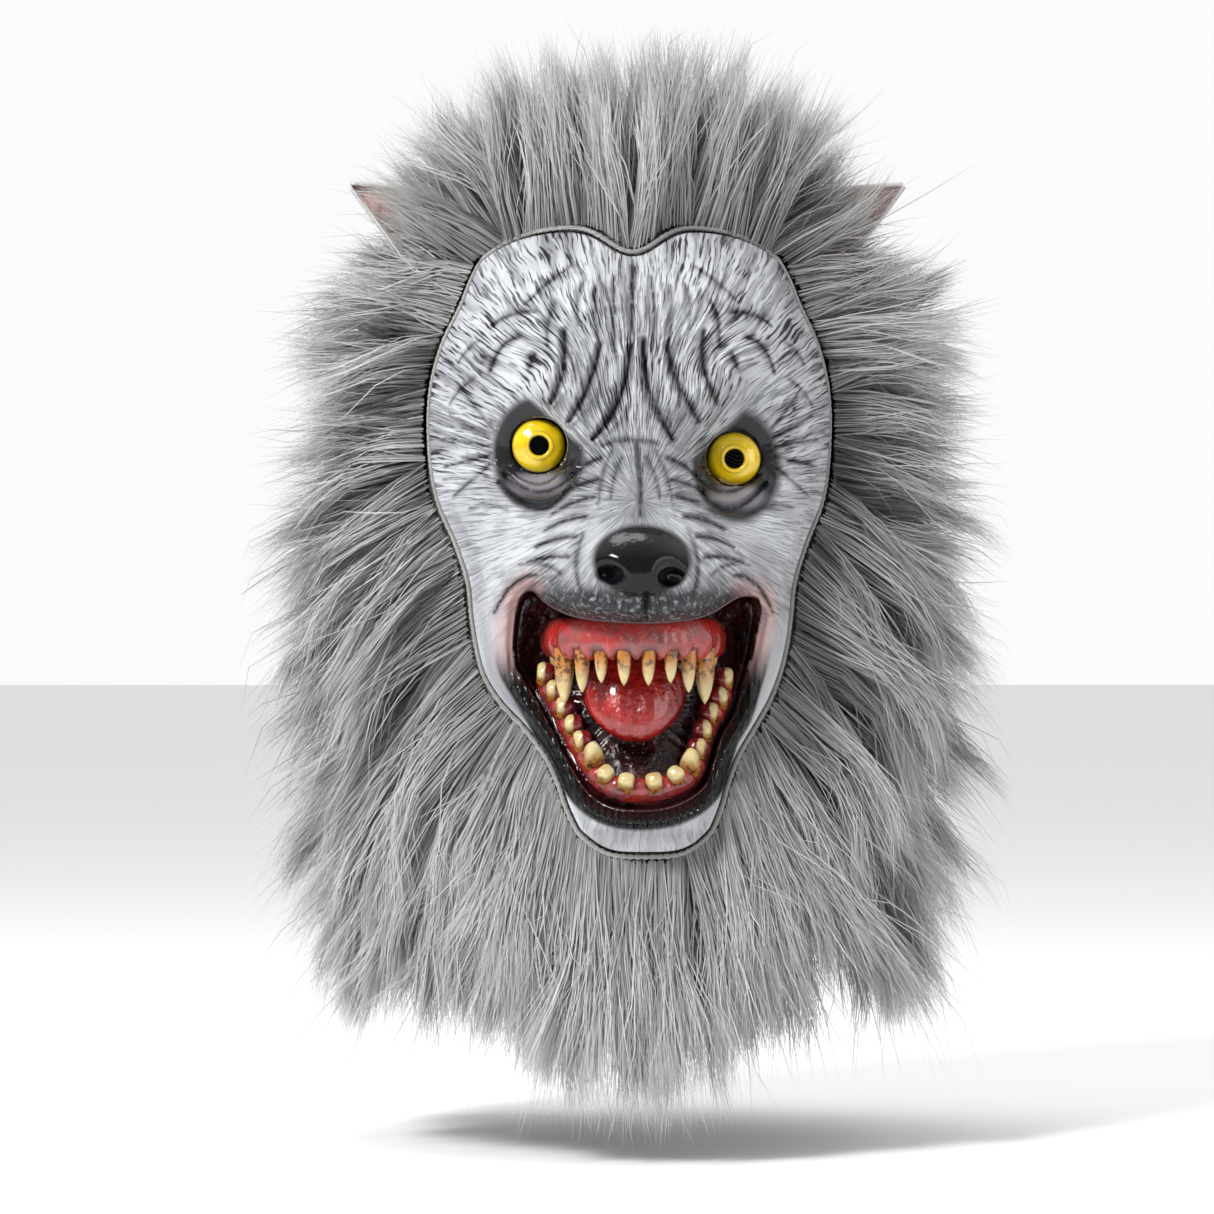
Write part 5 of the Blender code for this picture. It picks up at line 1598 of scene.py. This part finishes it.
def hair_ribbons(roots, guides, owner, random):
    """Lines of the hairs as an array: hair, step, coordinate."""
    count = len(roots)
    reach = random.uniform(0.72, 1.03, count)
    reach = np.where(random.uniform(0, 1, count) < LONG_SHARE, reach * LONG_REACH, reach)
    reach = np.minimum(reach, 1.0)
    gather = random.uniform(0.45, 0.95, count)
    stray = random.normal(0, 1, (count, 3)) * STRAY
    loose = random.uniform(0, 1, count) < LOOSE_SHARE
    stray = stray * np.where(loose, LOOSE_STRAY, HELD_STRAY)[:, None]
    phase = random.uniform(0, 2 * math.pi, count)
    offset = roots - guides[owner, 0]
    line = []
    for t in np.linspace(0, 1, HAIR_STEPS):
        at = t * reach * GUIDE_STEPS
        low = np.minimum(at.astype(int), GUIDE_STEPS - 1)
        share = (at - low)[:, None]
        spot = guides[owner, low] * (1 - share) + guides[owner, low + 1] * share
        pull = 1 - gather * soft(t, 0.05, 0.95)
        wave = WAVE * np.sin(phase + 7 * t) * t
        spot = spot + offset * pull[:, None] + stray * t**1.5
        line.append(spot + wave[:, None])
    return np.stack(line, axis=1)


def ribbon_mesh(line, outward, random):
    """Turns hair lines into ribbons with random roll, narrowing to a point."""
    count = len(line)
    along = unit(np.gradient(line, axis=1))
    flat = unit(np.cross(along, outward[:, None]))
    raised = np.cross(along, flat)
    roll = random.uniform(-0.9, 0.9, count)[:, None, None]
    edge = flat * np.cos(roll) + raised * np.sin(roll)
    taper = np.array(HAIR_TAPER)[None, :, None]
    wide = HAIR_HALF_WIDTH * random.uniform(0.7, 1.5, count)[:, None, None]
    body = line[:, :-1]
    left, right = body - edge[:, :-1] * wide * taper, body + edge[:, :-1] * wide * taper
    sides = np.stack([left, right], axis=2).reshape(count, -1, 3)
    points = np.concatenate([sides, line[:, -1:]], axis=1)
    each = points.shape[1]
    start = np.arange(count)[:, None, None] * each
    quads = np.array([(0, 1, 3, 2), (2, 3, 5, 4), (4, 5, 7, 6)])[None] + start
    tips = np.array([(6, 7, 8)])[None] + start
    t = np.array([0, 0, 1, 1, 2, 2, 3, 3, 4]) / (HAIR_STEPS - 1)
    faces = quads.reshape(-1, 4).tolist() + tips.reshape(-1, 3).tolist()
    return points.reshape(-1, 3), faces, np.tile(t, count), each

# %% [markdown]
# The pile is grey and shiny, darker towards the root, which is painted shade deep
# in the pile, and paler towards the tip. Each hair has its own shade. The colour
# comes from two numbers stored on the ribbons, so one material serves every panel.

# %% Fur material
# the roots are darker than the tips: painted shade deep in the pile
ROOT_DARK = (0.150, 0.148, 0.144)
TIP_DARK = (0.400, 0.397, 0.390)
ROOT_PALE = (0.290, 0.287, 0.281)
TIP_PALE = (0.600, 0.597, 0.590)


def make_fur():
    """Grey pile: darker at the root as painted shade, paler towards the tip, and each hair with
    its own shade.
    """
    made, tree, shader = start_material("grey pile", 0.45, Specular_IOR_Level=0.4)
    along, shade = read(tree, "along"), read(tree, "shade")
    # darker towards the root: painted shade deep in the pile
    dark = mixed(tree, along, ROOT_DARK, TIP_DARK)
    pale = mixed(tree, along, ROOT_PALE, TIP_PALE)
    tree.links.new(mixed(tree, shade, dark, pale), shader.inputs["Base Color"])
    return made


fur = make_fur()
print("material:", fur.name)

# %% [markdown]
# The mask's fur is cut from five pieces, so it is grown in five panels. Under the
# hairs of each lies a thin coat of the hood's own tone, which closes the view
# between the roots. No hair may leave the solid's box by more than a centimetre
# or so, and the few that would are held at its side.

# %% Grow the panels
PANEL_NODES = {
    "crown": "crown_fur",
    "left_side": "left_mane",
    "right_side": "right_mane",
    "back": "back_mane",
    "chin": "chin_fur",
}

UNDERCOAT_LIFT = 0.0022
UNDERCOAT_ROWS = 150
CROWN_ROWS = 125
COAT_DEGREES = 1.7
CHIN_DEGREES = 1.1
BOX_SLACK = 0.012


def undercoat(panel):
    """A shell of short dense pile that the roots stand in."""
    name, first, last, *_ = panel
    rows = CROWN_ROWS if name == "crown" else UNDERCOAT_ROWS
    columns = int((last - first) / (CHIN_DEGREES if name == "chin" else COAT_DEGREES))
    z, azimuth = np.mgrid[HEM_Z : 0.0 : rows * 1j, 0 : 1 : (columns + 1) * 1j]
    if name == "crown":
        z = dome_z(0.97 - 0.96 * (z - HEM_Z) / (0 - HEM_Z))
    azimuth = np.radians(first + (last - first) * azimuth)
    points = on_hood(azimuth, z, UNDERCOAT_LIFT).reshape(-1, 3)
    good = in_panel(name, points, points[:, 2])
    faces = grid_faces(rows, columns + 1)
    faces = faces[good[faces].all(axis=1)]
    return drop_unused(points, faces)


def grow_panel(panel, seed):
    """One panel: guides, hairs on them, their shades, and the coat below."""
    name, _, _, hairs, locks = panel
    random = np.random.default_rng(seed)
    azimuth, z = sample_roots(panel, locks, random)
    guides = grow_guides(azimuth, z, random)
    azimuth, z = sample_roots(panel, hairs, random)
    roots = on_hood(azimuth, z, ROOT_LIFT)
    owner = np.empty(len(roots), dtype=int)
    for part in np.array_split(np.arange(len(roots)), 12):
        away = np.linalg.norm(roots[part, None] - guides[None, :, 0], axis=-1)
        owner[part] = away.argmin(axis=1)
    line = hair_ribbons(roots, guides, owner, random)
    outward = unit(roots * (1, 1, 0) + (0, 0, 1e-4))
    points, faces, along, each = ribbon_mesh(line, outward, random)
    shade = np.clip(random.normal(0.42, 0.20, len(roots)), 0, 1)
    lock_shade = random.normal(0, 0.12, len(guides))[owner]
    shade = np.repeat(np.clip(shade + lock_shade, 0, 1), each)
    base, base_faces = undercoat(panel)
    faces += (base_faces + len(points)).tolist()
    points = np.concatenate([points, base])
    low, high = np.array(cad_box)
    points = np.clip(points, low - BOX_SLACK, high + BOX_SLACK)
    pile = make_piece(f"{name}_pile", points, faces, fur)
    brush_on(pile, "along", np.concatenate([along, 0 * base[:, 0]]))
    brush_on(pile, "shade", np.concatenate([shade, 0 * base[:, 0]]))
    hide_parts(PANEL_NODES[name])
    return pile


for number, panel in enumerate(PANELS):
    grow_panel(panel, 11 + number)

# %% [markdown]
# ## Floor and light
# A pale floor, one soft light from the upper left and weaker ones from the right
# and from above. The room is bright behind and above the mask and dimmer in
# front, so the background turns white while the wet paint mirrors a dark room.

# %% Floor
FLOOR_BELOW = 0.02
FLOOR_TONE = 0.93

bpy.ops.mesh.primitive_plane_add(size=30, location=(0, 0, cad_box[0][2] - FLOOR_BELOW))
floor = bpy.context.object
floor.name = "floor"
floor_paint, tree, shader = start_material("floor", 0.9)
shader.inputs["Base Color"].default_value = (FLOOR_TONE, FLOOR_TONE, FLOOR_TONE, 1)
floor.data.materials.append(floor_paint)

# %% Room
ROOM_DIM = 0.30
ROOM_BRIGHT = 0.97
ROOM_UP_SHARE = 0.6

world = bpy.data.worlds.new("room")
world.use_nodes = True
room = world.node_tree
way = add_node(room, "ShaderNodeTexCoord")
parts = add_node(room, "ShaderNodeSeparateXYZ", {"Vector": way.outputs["Generated"]})
amounts = {0: parts.outputs["Z"], 1: ROOM_UP_SHARE, 2: parts.outputs["Y"]}
behind = add_node(room, "ShaderNodeMath", amounts, operation="MULTIPLY_ADD").outputs["Value"]
limits = {"From_Min": -0.3, "From_Max": 0.5, "To_Min": ROOM_DIM, "To_Max": ROOM_BRIGHT}
bright = spread_out(room, behind, **limits)
room.links.new(bright, room.nodes["Background"].inputs["Strength"])
room.nodes["Background"].inputs["Color"].default_value = (1, 1, 1, 1)
bpy.context.scene.world = world
bpy.context.scene.view_settings.view_transform = "Standard"
print("room:", ROOM_DIM, "in front,", ROOM_BRIGHT, "behind")

# %% Lamps
# name, place, width in metres, power in watts
LAMPS = (
    ("key", (-1.1, -1.3, 1.1), 0.50, 48),
    ("fill", (1.4, -1.2, 0.2), 1.0, 8),
    ("top", (-0.2, 0.3, 1.6), 0.8, 10),
)
for name, place, size, power in LAMPS:
    lamp = bpy.data.lights.new(name, "AREA")
    lamp.size = size
    lamp.energy = power
    light = bpy.data.objects.new(name, lamp)
    light.location = place
    light.rotation_euler = (LOOK_AT - Vector(place)).to_track_quat("-Z", "Y").to_euler()
    bpy.context.scene.collection.objects.link(light)
print("lamps:", len(LAMPS))
